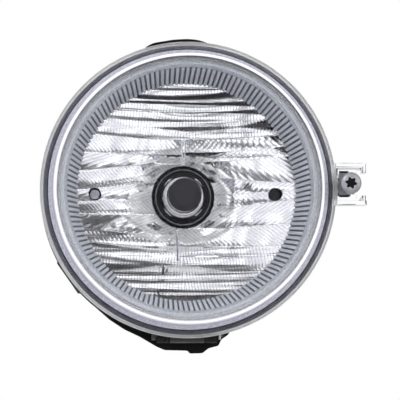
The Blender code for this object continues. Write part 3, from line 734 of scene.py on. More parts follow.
def black_plastic(settings, name="black_nylon", roughness=(0.42, 0.62), scale=2600.0, dust=0.12, gloss=0.03):
    """Black moulding with grained faces, rubbed edges and a film of dust on top."""
    made, tree, shader = new_material(name, settings.plastic_colour, 0.5, Specular_IOR_Level=gloss)
    grain = place_effect(tree, "moulded_grain", Scale=scale, Patch_Scale=140.0)
    wear = place_effect(tree, "edge_wear", Amount=0.55, Scale=900.0)
    film = place_effect(tree, "settled_dust", Amount=dust, Scale=110.0)
    base = tuple(settings.plastic_colour)
    dull = tuple(c * 1.8 + 0.001 for c in base)
    plain = toned(tree, grain.outputs["Tone"], base, dull, shader.inputs["Base Color"])
    colour = shader.inputs["Base Color"]
    worn = covered(tree, wear.outputs["Mask"], plain.outputs[2], (0.03, 0.03, 0.032), colour)
    covered(tree, film.outputs["Mask"], worn.outputs[2], (0.21, 0.20, 0.185), colour)
    spread(tree, grain.outputs["Tone"], *roughness, shader.inputs["Roughness"])
    bumped(tree, shader, grain.outputs["Height"], 0.5, 0.00006)
    return made


def rubber(settings, name="seal_rubber"):
    return black_plastic(settings, name, (0.7, 0.9), 1800.0, 0.25)


def metal(name, colour, roughness, mottle=0.75, scale=500.0):
    """Plated or drawn metal with mottled tone and rubbed edges."""
    made, tree, shader = new_material(name, colour, roughness, 1.0)
    grain = place_effect(tree, "moulded_grain", Scale=5000.0, Patch_Scale=scale)
    wear = place_effect(tree, "edge_wear", Amount=0.7, Scale=1500.0)
    second = tuple(c * mottle for c in colour)
    plain = toned(tree, grain.outputs["Tone"], colour, second, shader.inputs["Base Color"])
    rubbed = tuple(min(1.0, c * 1.3) for c in colour)
    covered(tree, wear.outputs["Mask"], plain.outputs[2], rubbed, shader.inputs["Base Color"])
    spread(tree, grain.outputs["Tone"], roughness * 0.8, roughness * 1.3, shader.inputs["Roughness"])
    bumped(tree, shader, grain.outputs["Height"], 0.25, 0.00002)
    return made


def quartz():
    """Clear quartz of the bulb's tube."""
    made, tree, shader = new_material(
        "quartz_glass", (0.97, 0.97, 0.98), 0.0, Transmission_Weight=1.0, IOR=1.46
    )
    grain = place_effect(tree, "moulded_grain", Scale=900.0, Patch_Scale=200.0)
    spread(tree, grain.outputs["Tone"], 0.0, 0.03, shader.inputs["Roughness"])
    let_light_through(tree, shader)
    return made


def tip_paint():
    """The glossy heat-proof black coat on the bulb's tip."""
    dark, light = (0.012, 0.011, 0.013), (0.030, 0.027, 0.031)
    made, tree, shader = new_material("tip_paint", dark, 0.12, Specular_IOR_Level=0.12)
    grain = place_effect(tree, "moulded_grain", Scale=1500.0, Patch_Scale=260.0)
    toned(tree, grain.outputs["Tone"], dark, light, shader.inputs["Base Color"])
    spread(tree, grain.outputs["Tone"], 0.10, 0.22, shader.inputs["Roughness"])
    bumped(tree, shader, grain.outputs["Height"], 0.15, 0.00003)
    return made


def white_nylon():
    made, tree, shader = new_material("natural_nylon", (0.72, 0.70, 0.62), 0.45, Subsurface_Weight=0.2)
    shader.inputs["Subsurface Radius"].default_value = (0.002, 0.002, 0.0015)
    grain = place_effect(tree, "moulded_grain", Scale=1500.0, Patch_Scale=200.0)
    toned(tree, grain.outputs["Tone"], (0.74, 0.72, 0.65), (0.62, 0.60, 0.52), shader.inputs["Base Color"])
    bumped(tree, shader, grain.outputs["Height"], 0.3, 0.00004)
    return made


# ---------------------------------------------------------------- camera, floor and light
CAMERA_DISTANCE = 0.9006
CAMERA_AZIMUTH = -2.8
CAMERA_ELEVATION = -3.5
CAMERA_LENS = 236.0
FRAMED_POINT = (0.00395, -0.0036)
FLOOR_Z = -0.26


def make_camera():
    data = bpy.data.cameras.new("studio_camera")
    data.lens = CAMERA_LENS
    data.clip_start = 0.05
    data.clip_end = 20.0
    camera = bpy.data.objects.new("studio_camera", data)
    bpy.context.scene.collection.objects.link(camera)
    turn, rise = math.radians(CAMERA_AZIMUTH), math.radians(CAMERA_ELEVATION)
    back = Vector((math.sin(turn) * math.cos(rise), -math.cos(turn) * math.cos(rise), math.sin(rise)))
    target = Vector((FRAMED_POINT[0], y_at(0.0100), FRAMED_POINT[1]))
    camera.location = target + back * CAMERA_DISTANCE
    camera.rotation_mode = "QUATERNION"
    camera.rotation_quaternion = (-back).to_track_quat("-Z", "Y")
    bpy.context.scene.camera = camera


def make_floor():
    size = 4.0
    corners = [(-size, -size, FLOOR_Z), (size, -size, FLOOR_Z), (size, size, FLOOR_Z), (-size, size, FLOOR_Z)]
    floor = new_object("studio_floor", corners, [[0, 1, 2, 3]])
    made, tree, shader = new_material("pale_floor", (0.93, 0.93, 0.935), 0.6)
    grain = place_effect(tree, "moulded_grain", Scale=40.0, Patch_Scale=3.0)
    toned(tree, grain.outputs["Tone"], (0.94, 0.94, 0.945), (0.91, 0.91, 0.915), shader.inputs["Base Color"])
    floor.data.materials.append(made)


def ramp(tree, source, stops):
    """A colour ramp of (position, grey) stops."""
    node = add_node(tree, "ShaderNodeValToRGB")
    bar = node.color_ramp
    while len(bar.elements) > 1:
        bar.elements.remove(bar.elements[-1])
    bar.elements[0].position = stops[0][0]
    bar.elements[0].color = (stops[0][1],) * 3 + (1.0,)
    for position, grey in stops[1:]:
        bar.elements.new(position).color = (grey, grey, grey, 1.0)
    tree.links.new(source, node.inputs["Fac"])
    return node.outputs["Color"]


def make_sky():
    """The room: a white sweep behind the lamp, soft boxes before it and the dark gaps between them."""
    world = bpy.data.worlds.new("studio_room")
    bpy.context.scene.world = world
    world.use_nodes = True
    tree = world.node_tree
    shade = tree.nodes["Background"]
    place = add_node(tree, "ShaderNodeTexCoord")
    split = add_node(tree, "ShaderNodeSeparateXYZ")
    tree.links.new(place.outputs["Generated"], split.inputs[0])
    # how far a direction points to the front of the lamp: 0 straight behind it, 1 straight ahead
    front = add_node(tree, "ShaderNodeMapRange", {"From Min": 1.0, "From Max": -1.0})
    tree.links.new(split.outputs["Y"], front.inputs["Value"])
    height = add_node(tree, "ShaderNodeMapRange", {"From Min": -1.0, "From Max": 1.0})
    tree.links.new(split.outputs["Z"], height.inputs["Value"])
    rows = ramp(
        tree,
        height.outputs["Result"],
        [
            (0.0, 0.9), (0.30, 0.9), (0.33, 0.5), (0.36, 0.5), (0.37, 0.22), (0.42, 0.22), (0.43, 1.0),
            (0.47, 1.0), (0.485, 0.8), (0.52, 0.8), (0.54, 1.0), (0.57, 1.0), (0.58, 0.25), (0.64, 0.25),
            (0.65, 1.0), (0.68, 1.0), (0.70, 0.06), (0.80, 0.06), (0.84, 1.0), (1.0, 1.0),
        ],
    )
    aside = add_node(tree, "ShaderNodeMath", operation="ABSOLUTE")
    tree.links.new(split.outputs["X"], aside.inputs[0])
    wide = ramp(tree, aside.outputs[0], [(0.0, 0.0), (0.22, 0.0), (0.32, 1.0), (1.0, 1.0)])
    bright = add_node(tree, "ShaderNodeVectorMath", operation="SCALE")
    bright.inputs["Scale"].default_value = 1.9
    covered(tree, wide, rows, WHITE, bright.inputs[0])
    # the rows are ahead of the lamp only, and the camera itself sees plain white
    room = ramp(tree, front.outputs["Result"], [(0.0, 0.0), (0.70, 0.0), (0.80, 1.0), (1.0, 1.0)])
    mix = toned(tree, room, WHITE, WHITE, shade.inputs["Color"])
    tree.links.new(bright.outputs[0], mix.inputs[7])
    path = add_node(tree, "ShaderNodeLightPath")
    covered(tree, path.outputs["Is Camera Ray"], mix.outputs[2], WHITE, shade.inputs["Color"])
    shade.inputs["Strength"].default_value = 1.0


def add_softbox(name, place, aim, size, power):
    data = bpy.data.lights.new(name, "AREA")
    data.shape = "RECTANGLE"
    data.size, data.size_y = size
    data.energy = power
    lamp = bpy.data.objects.new(name, data)
    bpy.context.scene.collection.objects.link(lamp)
    lamp.location = place
    lamp.rotation_mode = "QUATERNION"
    lamp.rotation_quaternion = (Vector(aim) - Vector(place)).to_track_quat("-Z", "Y")


class FOGLIGHT_OT_stage(bpy.types.Operator):
    """Makes the camera, the pale floor and the soft studio light"""

    bl_idname = "fog_light.stage"
    bl_label = "Stage"

    def execute(self, context):
        for obj in list(bpy.data.objects):
            if obj.type in {"CAMERA", "LIGHT"}:
                bpy.data.objects.remove(obj)
        make_camera()
        make_floor()
        make_sky()
        middle = (0.0, y_at(0.02), 0.0)
        add_softbox("key_softbox", (-0.7, -1.1, 0.9), middle, (0.8, 0.8), 5.0)
        add_softbox("fill_softbox", (0.9, -0.8, 0.5), middle, (0.6, 0.9), 3.0)
        context.scene.view_settings.view_transform = "Standard"
        return {"FINISHED"}


# ---------------------------------------------------------------- lens
def lens_outline():
    face_r, face_rise, wall = 0.0436, 0.0052, 0.0019
    count = 14
    face = [(face_r * k / count, -LENS_CROWN + face_rise * (k / count) ** 2) for k in range(count + 1)]
    shoulder = rounded([face[-1], (0.0449, -0.0003), (0.0460, 0.0009), (0.0464, 0.0028)], 0.0010, 3, False)[1:]
    flange = rounded(
        [
            (0.0467, 0.0086),
            (0.0471, 0.0090),
            (RIM_R - 0.0002, 0.0090),
            (RIM_R, 0.0096),
            (RIM_R, LENS_BACK),
            (GROOVE_OUT_R, LENS_BACK),
            (GROOVE_OUT_R, GROOVE_DEPTH),
            (GROOVE_IN_R, GROOVE_DEPTH),
            (GROOVE_IN_R, LENS_BACK - 0.0003),
            (SKIRT_R, LENS_BACK - 0.0003),
        ],
        0.0003,
        2,
        False,
    )
    inside = rounded([(SKIRT_R, 0.0034), (0.0444, 0.0020), (0.0437, 0.0012)], 0.0005, 3, False)
    inner_face = [(r, depth + wall) for r, depth in reversed(face[:-1])]
    return face + shoulder + flange + inside + inner_face


def band_outline():
    """The grained skin on the lens's shoulder, skirt and flange."""
    skin = [(0.0451, -0.0002), (0.0460, 0.00082), (0.04648, 0.0028), (0.04678, 0.0086), (0.0472, 0.00892),
            (0.04815, 0.00892), (0.04815, 0.0093), (0.0469, 0.0093), (0.0463, 0.0086), (0.0461, 0.0028),
            (0.0457, 0.0013), (0.0450, 0.0004)]
    return rounded(skin, 0.0002, 2)


def lens_tab():
    """The open box beside the lens, as a solid and the shapes cut from it."""
    low, high = SCREW_Z - 0.0072, SCREW_Z + 0.0072
    end, wall = LENS_BOX[1].x, 0.0013
    inner = end - wall
    solid = block("tab_block", (0.0500, 0.0050, low), (end, LENS_BACK - 0.0002, high))
    front = block("tab_front", (0.0475, 0.0040, low + wall), (inner, 0.0070, high - wall))
    rear = block("tab_rear", (0.0513, 0.0092, low + wall), (inner, 0.0150, high - wall))
    window = block(
        "tab_window", (inner - 0.0003, 0.0041, SCREW_Z - 0.0039), (end + 0.001, 0.0151, SCREW_Z + 0.0039)
    )
    slot = block(
        "tab_slot", (SCREW_X - 0.0026, 0.0060, SCREW_Z - 0.0035), (end + 0.001, 0.0100, SCREW_Z + 0.0035)
    )
    edge = block(
        "tab_edge",
        (CLIP_BOX[1].x - 0.0010, 0.0061, SCREW_Z - 0.0048),
        (inner - 0.0001, 0.0099, SCREW_Z + 0.0048),
    )
    return solid, (front, rear, window, slot, edge)


class FOGLIGHT_OT_lens(bpy.types.Operator):
    """Makes the clear lens with its side tab, and its sealing bead"""

    bl_idname = "fog_light.lens"
    bl_label = "Lens"

    def execute(self, context):
        settings = context.scene.fog_light
        lens = turned("clear_lens", lens_outline(), 192)
        solid, cuts = lens_tab()
        shaped(solid, cut=cuts)
        softened(solid, 0.00045, 3)
        shaped(lens, add=(solid,))
        fitted(lens, clear_plastic(settings), "lamp", "clear_lens", "lens")
        band = turned("grained_band", band_outline(), 192)
        fitted(band, frosted_plastic(), "lamp", "clear_lens", "lens")
        low, high = GROOVE_DEPTH + 0.0001, GROOVE_DEPTH + 0.0011
        ring = [(GROOVE_IN_R + 0.0001, low), (GROOVE_OUT_R - 0.0001, low),
                (GROOVE_OUT_R - 0.0001, high), (GROOVE_IN_R + 0.0001, high)]
        seal = turned("sealing_bead", rounded(ring, 0.0002, 2), 160)
        fitted(seal, sealant(), "lamp", "seal_rubber", "lens_seal")
        return {"FINISHED"}


# ---------------------------------------------------------------- trim ring
CONE_START = (0.0421, 0.0054)
CONE_END = (0.0383, depth_of(TRIM_BOX[1].y))


def cone_radius(depth):
    """Radius of the trim ring's cone, on top of its ridges' roots."""
    share = (depth - CONE_START[1]) / (CONE_END[1] - CONE_START[1])
    return CONE_START[0] + (CONE_END[0] - CONE_START[0]) * share


def flute_shape(settings):
    """Flat ridges with steep sides, standing in from the cone. They start square at the lip."""
    count, height = settings.flute_count, settings.flute_height
    side = 0.09

    def wave(turn, radius, depth):
        on_cone = CONE_START[1] + 0.0002 < depth and abs(radius - cone_radius(depth)) < 0.00005
        part = (turn * count / math.tau) % 1.0
        if part < 0.64:
            rise = min(part / side, 1.0)
        else:
            rise = max(1.0 - (part - 0.64) / side, 0.0)
        return -height * rise if on_cone else 0.0

    return wave


class FOGLIGHT_OT_trim(bpy.types.Operator):
    """Makes the silver trim ring: a grained lip and a fluted cone"""

    bl_idname = "fog_light.trim"
    bl_label = "Trim ring"

    def execute(self, context):
        settings = context.scene.fog_light
        height, end = settings.flute_height, CONE_END[1]
        lip = rounded([(0.0443, 0.0090), (0.0443, 0.0037), (0.0424, 0.0036)], 0.0003, 3, False)
        mouth = [(CONE_START[0] - height, 0.0047), (CONE_START[0] - height, CONE_START[1])]
        rows = 10
        first = CONE_START[1] + 0.00012
        depths = [first + (end - CONE_START[1] - 0.00012) * k / rows for k in range(rows + 1)]
        cone = [(cone_radius(CONE_START[1]), CONE_START[1] + 0.00006)] + [(cone_radius(d), d) for d in depths]
        back = [(0.0390, end), (0.0429, 0.0066), (0.0433, 0.0052), (0.0435, 0.0054), (0.0435, 0.0090)]
        outline = lip + mouth + cone + back
        steps = settings.flute_count * 10
        ring = turned("fluted_trim", outline, steps, angle=35.0, shape=flute_shape(settings))
        fitted(ring, grained_silver(settings), "lamp", "trim_silver", "trim_ring")
        return {"FINISHED"}


# ---------------------------------------------------------------- mirror
# Heights of the creases between the mirror's strips, at the bulb hole and at the rim.
UPPER_CREASES = (0.0205, 0.0238, 0.0262, 0.0293, 0.0328, 0.0363, 0.0400)
LOWER_CREASES = (-0.0400, -0.0348, -0.0321, -0.0298, -0.0275, -0.0216)
LEFT_CREASES = (
    (-0.0180, -0.0170), (-0.0135, -0.0126), (-0.0062, -0.0074), (-0.0010, -0.0027),
    (0.0053, 0.0009), (0.0120, 0.0073), (0.0150, 0.0140),
)
RIGHT_CREASES = (
    (-0.0178, -0.0186), (-0.0113, -0.0106), (-0.0041, -0.0022), (0.0010, 0.0010),
    (0.0073, 0.0034), (0.0129, 0.0131), (0.0160, 0.0165),
)
UPPER_LEANS, UPPER_BENDS = (-0.03, 0.05, -0.04, 0.02, 0.05, -0.02), (1.1, -0.9, 1.2, 1.3, -1.0, 1.2)
LOWER_LEANS, LOWER_BENDS = (0.02, -0.04, 0.04, -0.03, 0.03, 0.0), (1.2, -1.1, 1.2, 1.2, -0.9, 1.1)
GRID = 0.00018


def creases(side):
    middle = LEFT_CREASES if side < 0 else RIGHT_CREASES
    flat = [(z, z) for z in LOWER_CREASES], [(z, z) for z in UPPER_CREASES]
    return np.array(flat[0] + list(middle) + flat[1])


def strip_at(x, z, side):
    """Index of the strip under each point, with the heights of its two creases."""
    lines = creases(side)
    share = np.clip((np.abs(x) - BULB_HOLE_R) / (DISH_R - BULB_HOLE_R), 0.0, 1.0)
    heights = lines[:, 0][:, None] + (lines[:, 1] - lines[:, 0])[:, None] * share[None, :]
    strip = np.clip((z[None, :] > heights).sum(axis=0) - 1, 0, len(lines) - 2)
    columns = np.arange(len(x))
    return strip, heights[strip, columns], heights[strip + 1, columns]


def facet_offset(x, z, settings):
    """How far the mirror's surface lies behind the plain paraboloid."""
    offset = np.zeros_like(x)
    rng = np.random.default_rng(7)
    for side in (-1, 1):
        count = len(creases(side)) - 1
        first, last = len(LOWER_CREASES), count + 1 - len(UPPER_CREASES)
        lean, bend = rng.uniform(-0.03, 0.03, count), rng.uniform(0.45, 0.85, count)
        lean[:first], bend[:first] = LOWER_LEANS, LOWER_BENDS
        lean[last:], bend[last:] = UPPER_LEANS, UPPER_BENDS
        here = (x < 0) == (side < 0)
        strip, low, high = strip_at(x, z, side)
        width = np.maximum(high - low, 0.0005)
        v = np.clip(2 * (z - low) / width - 1, -1.2, 1.2)
        arch = settings.facet_slope * bend[strip] * width / 4 * (v * v - 1)
        tilt = lean[strip] * width / 2 * v
        offset += np.where(here, arch + tilt, 0.0)
    return offset


def flute_phase(faces, x, z, settings):
    """Counts fine flutes across each strip, for every corner of every face.

    They change direction from strip to strip.
    """
    middle_x, middle_z = x[faces].mean(axis=1), z[faces].mean(axis=1)
    phase = np.zeros(faces.shape)
    for side in (-1, 1):
        here = (middle_x < 0) == (side < 0)
        strip, _, _ = strip_at(middle_x, middle_z, side)
        inner = (strip >= len(LOWER_CREASES)) & (strip <= len(creases(side)) - 1 - len(UPPER_CREASES))
        lines = np.where(strip % 2 == 0, 0.70, -0.55) if side > 0 else np.where(strip % 2 == 0, 0.75, -0.35)
        slant = np.where(inner, lines, 1.45 * side)
        along = x[faces] * np.sin(slant)[:, None] + z[faces] * np.cos(slant)[:, None]
        phase = np.where(here[:, None], along / settings.ripple_pitch, phase)
    return phase


def seam_offset(x, z):
    """The fine groove that runs up and down from the bulb hole."""
    above = np.exp(-(((x - 0.0001) / 0.0006) ** 4)) * ((z > 0) & (z < 0.0205))
    below = np.exp(-(((x + 0.0022) / 0.00022) ** 2)) * ((z < 0) & (z > -0.0230))
    return -0.0004 * above + 0.00025 * below


def mirror_depth(x, z, settings):
    return VERTEX_DEPTH - (x * x + z * z) / (4 * FOCAL) + facet_offset(x, z, settings) + seam_offset(x, z)


def snap_to_circle(x, z, cx, radius, moved):
    """Moves the chosen points onto a circle round (cx, 0), straight out from its centre."""
    dx, dz = x[moved] - cx, z[moved]
    reach = np.maximum(np.hypot(dx, dz), 1e-9)
    x[moved] = cx + dx * radius / reach
    z[moved] = dz * radius / reach


def make_mirror(settings):
    half = int(DISH_R / GRID) + 2
    side = 2 * half + 1
    ticks = np.arange(-half, half + 1) * GRID
    x, z = (g.ravel().copy() for g in np.meshgrid(ticks, ticks))
    inside = np.hypot(x, z) <= DISH_R
    for cx, radius in MIRROR_HOLES:
        inside &= np.hypot(x - cx, z) >= radius
    corner = np.arange(side * side).reshape(side, side)
    quads = np.stack([corner[:-1, :-1], corner[:-1, 1:], corner[1:, 1:], corner[1:, :-1]], axis=-1)
    quads = quads.reshape(-1, 4)
    quads = quads[inside[quads].any(axis=1)]
    used = np.zeros(side * side, bool)
    used[quads.ravel()] = True
    stray = used & ~inside
    for cx, radius in MIRROR_HOLES:
        near = stray & (np.hypot(x - cx, z) < radius)
        snap_to_circle(x, z, cx, radius, near)
        stray &= ~near
    snap_to_circle(x, z, 0.0, DISH_R, stray)
    index = np.cumsum(used) - 1
    px, pz = x[used], z[used]
    py = y_at(mirror_depth(px, pz, settings))
    faces = index[quads]
    mesh = bpy.data.meshes.new("mirror")
    mesh.from_pydata(np.stack([px, py, pz], axis=1).tolist(), [], faces.tolist())
    flutes = mesh.attributes.new("flutes", "FLOAT", "CORNER")
    flutes.data.foreach_set("value", flute_phase(faces, px, pz, settings).ravel().astype(np.float32))
    form = bmesh.new()
    form.from_mesh(mesh)
    bmesh.ops.dissolve_degenerate(form, edges=form.edges, dist=0.000005)
    rims = [e for e in form.edges if e.is_boundary]
    pulled = bmesh.ops.extrude_edge_only(form, edges=rims)["geom"]
    moved = [v for v in pulled if isinstance(v, bmesh.types.BMVert)]
    bmesh.ops.translate(form, verts=moved, vec=(0.0, 0.0014, 0.0))
    bmesh.ops.recalc_face_normals(form, faces=form.faces)
    form.to_mesh(mesh)
    form.free()
    made = bpy.data.objects.new("faceted_mirror", mesh)
    bpy.context.scene.collection.objects.link(made)
    return smooth(made, 22.0)


class FOGLIGHT_OT_mirror(bpy.types.Operator):
    """Makes the faceted mirror, and finishes the screws that hold it"""

    bl_idname = "fog_light.mirror"
    bl_label = "Mirror"

    def execute(self, context):
        settings = context.scene.fog_light
        mirror = make_mirror(settings)
        fitted(mirror, mirror_coat(settings), "lamp", "mirror", "reflector")
        zinc = metal("zinc_plate", (0.56, 0.56, 0.59), 0.34)
        for side in ("top", "left", "right"):
            refinish(f"reflector_screw_{side}", zinc)
        return {"FINISHED"}


# ---------------------------------------------------------------- housing
HOUSING_BACK = 0.0630
POST_DEPTHS = (0.0392, 0.0539)
TWIST = 45.0
LUG_ANGLES = (45.0, 165.0, 285.0)


def sector(inner, outer, middle, span, count=8):
    """A piece of a flat ring as (x, z) points."""
    low, high = middle - span / 2, middle + span / 2
    return arc((0, 0), outer, low, high, count) + arc((0, 0), inner, high, low, count)


def housing_outline():
    tongue_in, tongue_out, tongue_front = GROOVE_IN_R + 0.0003, GROOVE_OUT_R - 0.0003, GROOVE_DEPTH + 0.0013
    outside = [
        (tongue_out, tongue_front),
        (tongue_out, 0.0162),
        (0.0448, 0.0172),
        (0.0442, 0.0200),
        (0.0433, 0.0360),
        (0.0405, 0.0460),
        (0.0355, 0.0530),
        (0.0280, 0.0575),
        (0.0215, 0.0595),
        (0.0205, 0.0605),
        (0.0205, HOUSING_BACK),
    ]
    inside = [
        (0.0114, HOUSING_BACK),
        (0.0114, 0.0610),
        (0.0142, 0.0610),
        (0.0142, 0.0578),
        (0.0185, 0.0574),
        (0.0265, 0.0555),
        (0.0338, 0.0513),
        (0.0387, 0.0448),
        (0.0415, 0.0355),
        (0.0424, 0.0200),
        (0.0424, 0.0143),
        (tongue_in, 0.0143),
        (tongue_in, tongue_front),
    ]
    return rounded(outside + inside, 0.0009, 4)


def housing_rib(index, angle):
    """A low stiffening rib that follows the housing's taper."""
    path = [
        (0.0441, 0.0185), (0.0450, 0.0200), (0.0443, 0.0360),
        (0.0413, 0.0468), (0.0362, 0.0538), (0.0286, 0.0583),
    ]
    under = [(0.0280, 0.0560), (0.0340, 0.0520), (0.0390, 0.0455), (0.0420, 0.0360), (0.0430, 0.0200)]
    half = 0.0006
    near, far = ([(r, y_at(d), side) for r, d in path + under] for side in (-half, half))
    rib = prism(f"housing_rib_{index}", near, far)
    rib.data.flip_normals()
    rib.data.transform(Matrix.Rotation(-math.radians(angle), 4, "Y"))
    return rib


class FOGLIGHT_OT_housing(bpy.types.Operator):
    """Makes the black housing behind the lens, with its breather cap"""

    bl_idname = "fog_light.housing"
    bl_label = "Housing"

    def execute(self, context):
        settings = context.scene.fog_light
        plastic = black_plastic(settings, "housing_nylon", (0.38, 0.58), 2200.0, 0.07, 0.22)
        housing = turned("lamp_housing", housing_outline(), 144)
        hinge_depth = depth_of(HINGE_Y)
        web = block(
            "knuckle_web", (-0.0050, hinge_depth - 0.0027, HINGE_Z), (0.0050, hinge_depth + 0.0027, -0.0430)
        )
        knuckle = rod(
            "middle_knuckle", KNUCKLE_R, (-0.0060, hinge_depth, HINGE_Z), (0.0060, hinge_depth, HINGE_Z)
        )
        joins, cuts = [web, knuckle], []
        for angle in (15, 50, 75, 105, 130, 165, 195, 230, 310, 345):
            joins.append(housing_rib(angle, angle + 1.7))
        for side in (-1, 1):
            x = side * PIN_HOLE_X
            joins.append(rod(f"post_{side}", 0.0018, (x, POST_DEPTHS[0], 0), (x, POST_DEPTHS[1], 0)))
        for angle in (90.0, 210.0, 330.0):
            x, z = at_angle(0.0403, angle)
            joins.append(rod(f"boss_{angle:.0f}", 0.0018, (x, 0.0304, z), (x, 0.0480, z)))
            cuts.append(rod(f"boss_bore_{angle:.0f}", 0.0009, (x, 0.0290, z), (x, 0.0370, z), 16))
        joins.append(rod("vent_stub", 0.0028, (VENT_X, 0.0553, VENT_Z), (VENT_X, 0.0620, VENT_Z)))
        cuts.append(rod("vent_bore", 0.0015, (VENT_X, 0.0450, VENT_Z), (VENT_X, 0.0660, VENT_Z), 24))
        cuts.append(
            rod("hinge_bore", HINGE_BORE_R, (-0.0120, hinge_depth, HINGE_Z), (0.0120, hinge_depth, HINGE_Z))
        )
        for angle in LUG_ANGLES:
            slot = sector(0.0100, 0.0140, angle - TWIST, 34.0)
            cuts.append(plate(f"lug_slot_{angle:.0f}", slot, 0.0605, HOUSING_BACK + 0.0005))
        shaped(housing, joins, cuts)
        fitted(housing, plastic, "lamp", "black_nylon", "housing")
        # painted light: a grey metal cap on the left post only stands in for the light seen on that post through
        # the mirror's left hole
        tip = POST_DEPTHS[0]
        post = rod("post_end", 0.0017, (-PIN_HOLE_X, tip - 0.00004, 0), (-PIN_HOLE_X, tip + 0.0003, 0))
        fitted(post, metal("post_lit_grey", (0.50, 0.50, 0.56), 0.6), "lamp", "black_nylon", "housing")

        cap = rounded(
            [
                (0.0, 0.06595), (0.0032, 0.06595), (0.0047, 0.0648), (0.00495, 0.0630),
                (0.0044, 0.0597), (0.0031, 0.0597), (0.0031, 0.0623), (0.0, 0.0623),
            ],
            0.0005,
        )

        def grips(turn, radius, depth):
            return -0.00022 * (0.5 + 0.5 * math.cos(16 * turn)) if radius > 0.0042 else 0.0

        vent = turned("breather_cap", cap, 96, (VENT_X, VENT_Z), shape=grips)
        fitted(vent, rubber(settings, "cap_rubber"), "lamp", "vent_rubber", "vent_cap")
        return {"FINISHED"}


# ---------------------------------------------------------------- bulb
GLASS_R = 0.0060
GLASS_TIP = depth_of(GLASS_BOX[0].y)
GLASS_END = depth_of(GLASS_BOX[1].y)
COAT_END = GLASS_TIP + 0.0024


def make_capsule():
    """The quartz tube and the black coat over its tip."""
    wall = 0.0009
    tube = [
        (GLASS_R - 0.00003, COAT_END + 0.0002),
        (GLASS_R - 0.00003, GLASS_END),
        (GLASS_R - wall, GLASS_END),
        (GLASS_R - wall, COAT_END - 0.0004),
        (GLASS_R - 0.0004, COAT_END - 0.0004),
        (GLASS_R - 0.0003, COAT_END),
    ]
    glass = turned("quartz_tube", tube, 96)
    fitted(glass, quartz(), "bulb", "quartz", "bulb_glass")
    edge = 0.00003
    dome = rounded(
        [
            (0.0, GLASS_TIP + edge),
            (0.0042, GLASS_TIP + edge),
            (GLASS_R - edge, GLASS_TIP + 0.0020),
            (GLASS_R - edge, COAT_END),
        ],
        0.0024,
        10,
        False,
    )
    inner = [
        (GLASS_R - 0.0002, COAT_END),
        (GLASS_R - 0.0006, COAT_END - 0.0003),
        (0.0046, GLASS_TIP + 0.0013),
        (0.0036, GLASS_TIP + 0.0010),
        (0.0, GLASS_TIP + 0.0009),
    ]
    coat = turned("black_tip", dome + inner, 96)
    fitted(coat, tip_paint(), "bulb", "quartz", "bulb_glass")


def make_ferrule():
    """The steel sleeve round the glass, with four windows and four gripping tongues."""
    outline = rounded(
        [
            (0.0062, 0.0462), (0.00645, 0.0462), (0.0067, 0.0470), (0.0067, 0.0526), (0.0073, 0.0529),
            (0.0073, 0.0570), (0.0065, 0.0570), (0.0065, 0.0534), (0.0062, 0.0530),
        ],
        0.00015,
        3,
    )
    sleeve = turned("steel_sleeve", outline, 128)
    cuts = []
    for angle in (45.0, 135.0, 225.0, 315.0):
        cuts.append(plate(f"window_{angle:.0f}", sector(0.0055, 0.0080, angle, 24.0, 6), 0.0478, 0.0496))
        cuts.append(plate(f"notch_{angle:.0f}", sector(0.0055, 0.0080, angle + 30.0, 5.0, 3), 0.0455, 0.0486))
    return shaped(sleeve, cut=cuts)


def make_base():
    """The collar with its lugs, the sealing flange and the plug socket that points down."""
    collar = rounded(
        [
            (0.0076, 0.0586), (0.0076, 0.0536), (0.0096, 0.0536), (0.0100, 0.0545), (0.0109, 0.0548),
            (0.0109, 0.0644), (0.0171, 0.0644), (0.0175, 0.0648), (0.0175, 0.0670), (0.0128, 0.0674),
            (0.0122, 0.0735),
        ],
        0.0003,
        3,
        False,
    )
    base = turned("bulb_holder", [(0.0, 0.0586)] + collar + [(0.0, 0.0740)], 128)
    joins, cuts = [], []
    for angle in LUG_ANGLES:
        lug = plate(f"lug_{angle:.0f}", sector(0.0100, 0.0136, angle, 26.0), 0.0590, 0.0607)
        joins.append(softened(lug, 0.0002, 2))
    shell = block("plug_shell", (-0.0105, 0.0685, -0.0340), (0.0105, 0.0815, 0.0060))
    latch = block("plug_latch", (-0.0030, 0.0811, -0.0300), (0.0030, 0.0829, -0.0250))
    joins += [softened(shell, 0.0012, 4), softened(latch, 0.0004, 3)]
    for x in (-0.0070, 0.0070):
        rib = block("grip_rib", (x - 0.0011, 0.0655, 0.0020), (x + 0.0011, 0.0770, 0.0160))
        joins.append(softened(rib, 0.0004, 3))
    for x in (-0.0100, 0.0088):
        joins.append(block("shell_rib", (x, 0.0810, -0.0330), (x + 0.0012, 0.0820, -0.0020)))
    cavity = block("plug_cavity", (-0.0090, 0.0700, -0.0350), (0.0090, 0.0800, -0.0200))
    cuts.append(softened(cavity, 0.0006, 3))
    return shaped(base, joins, cuts)


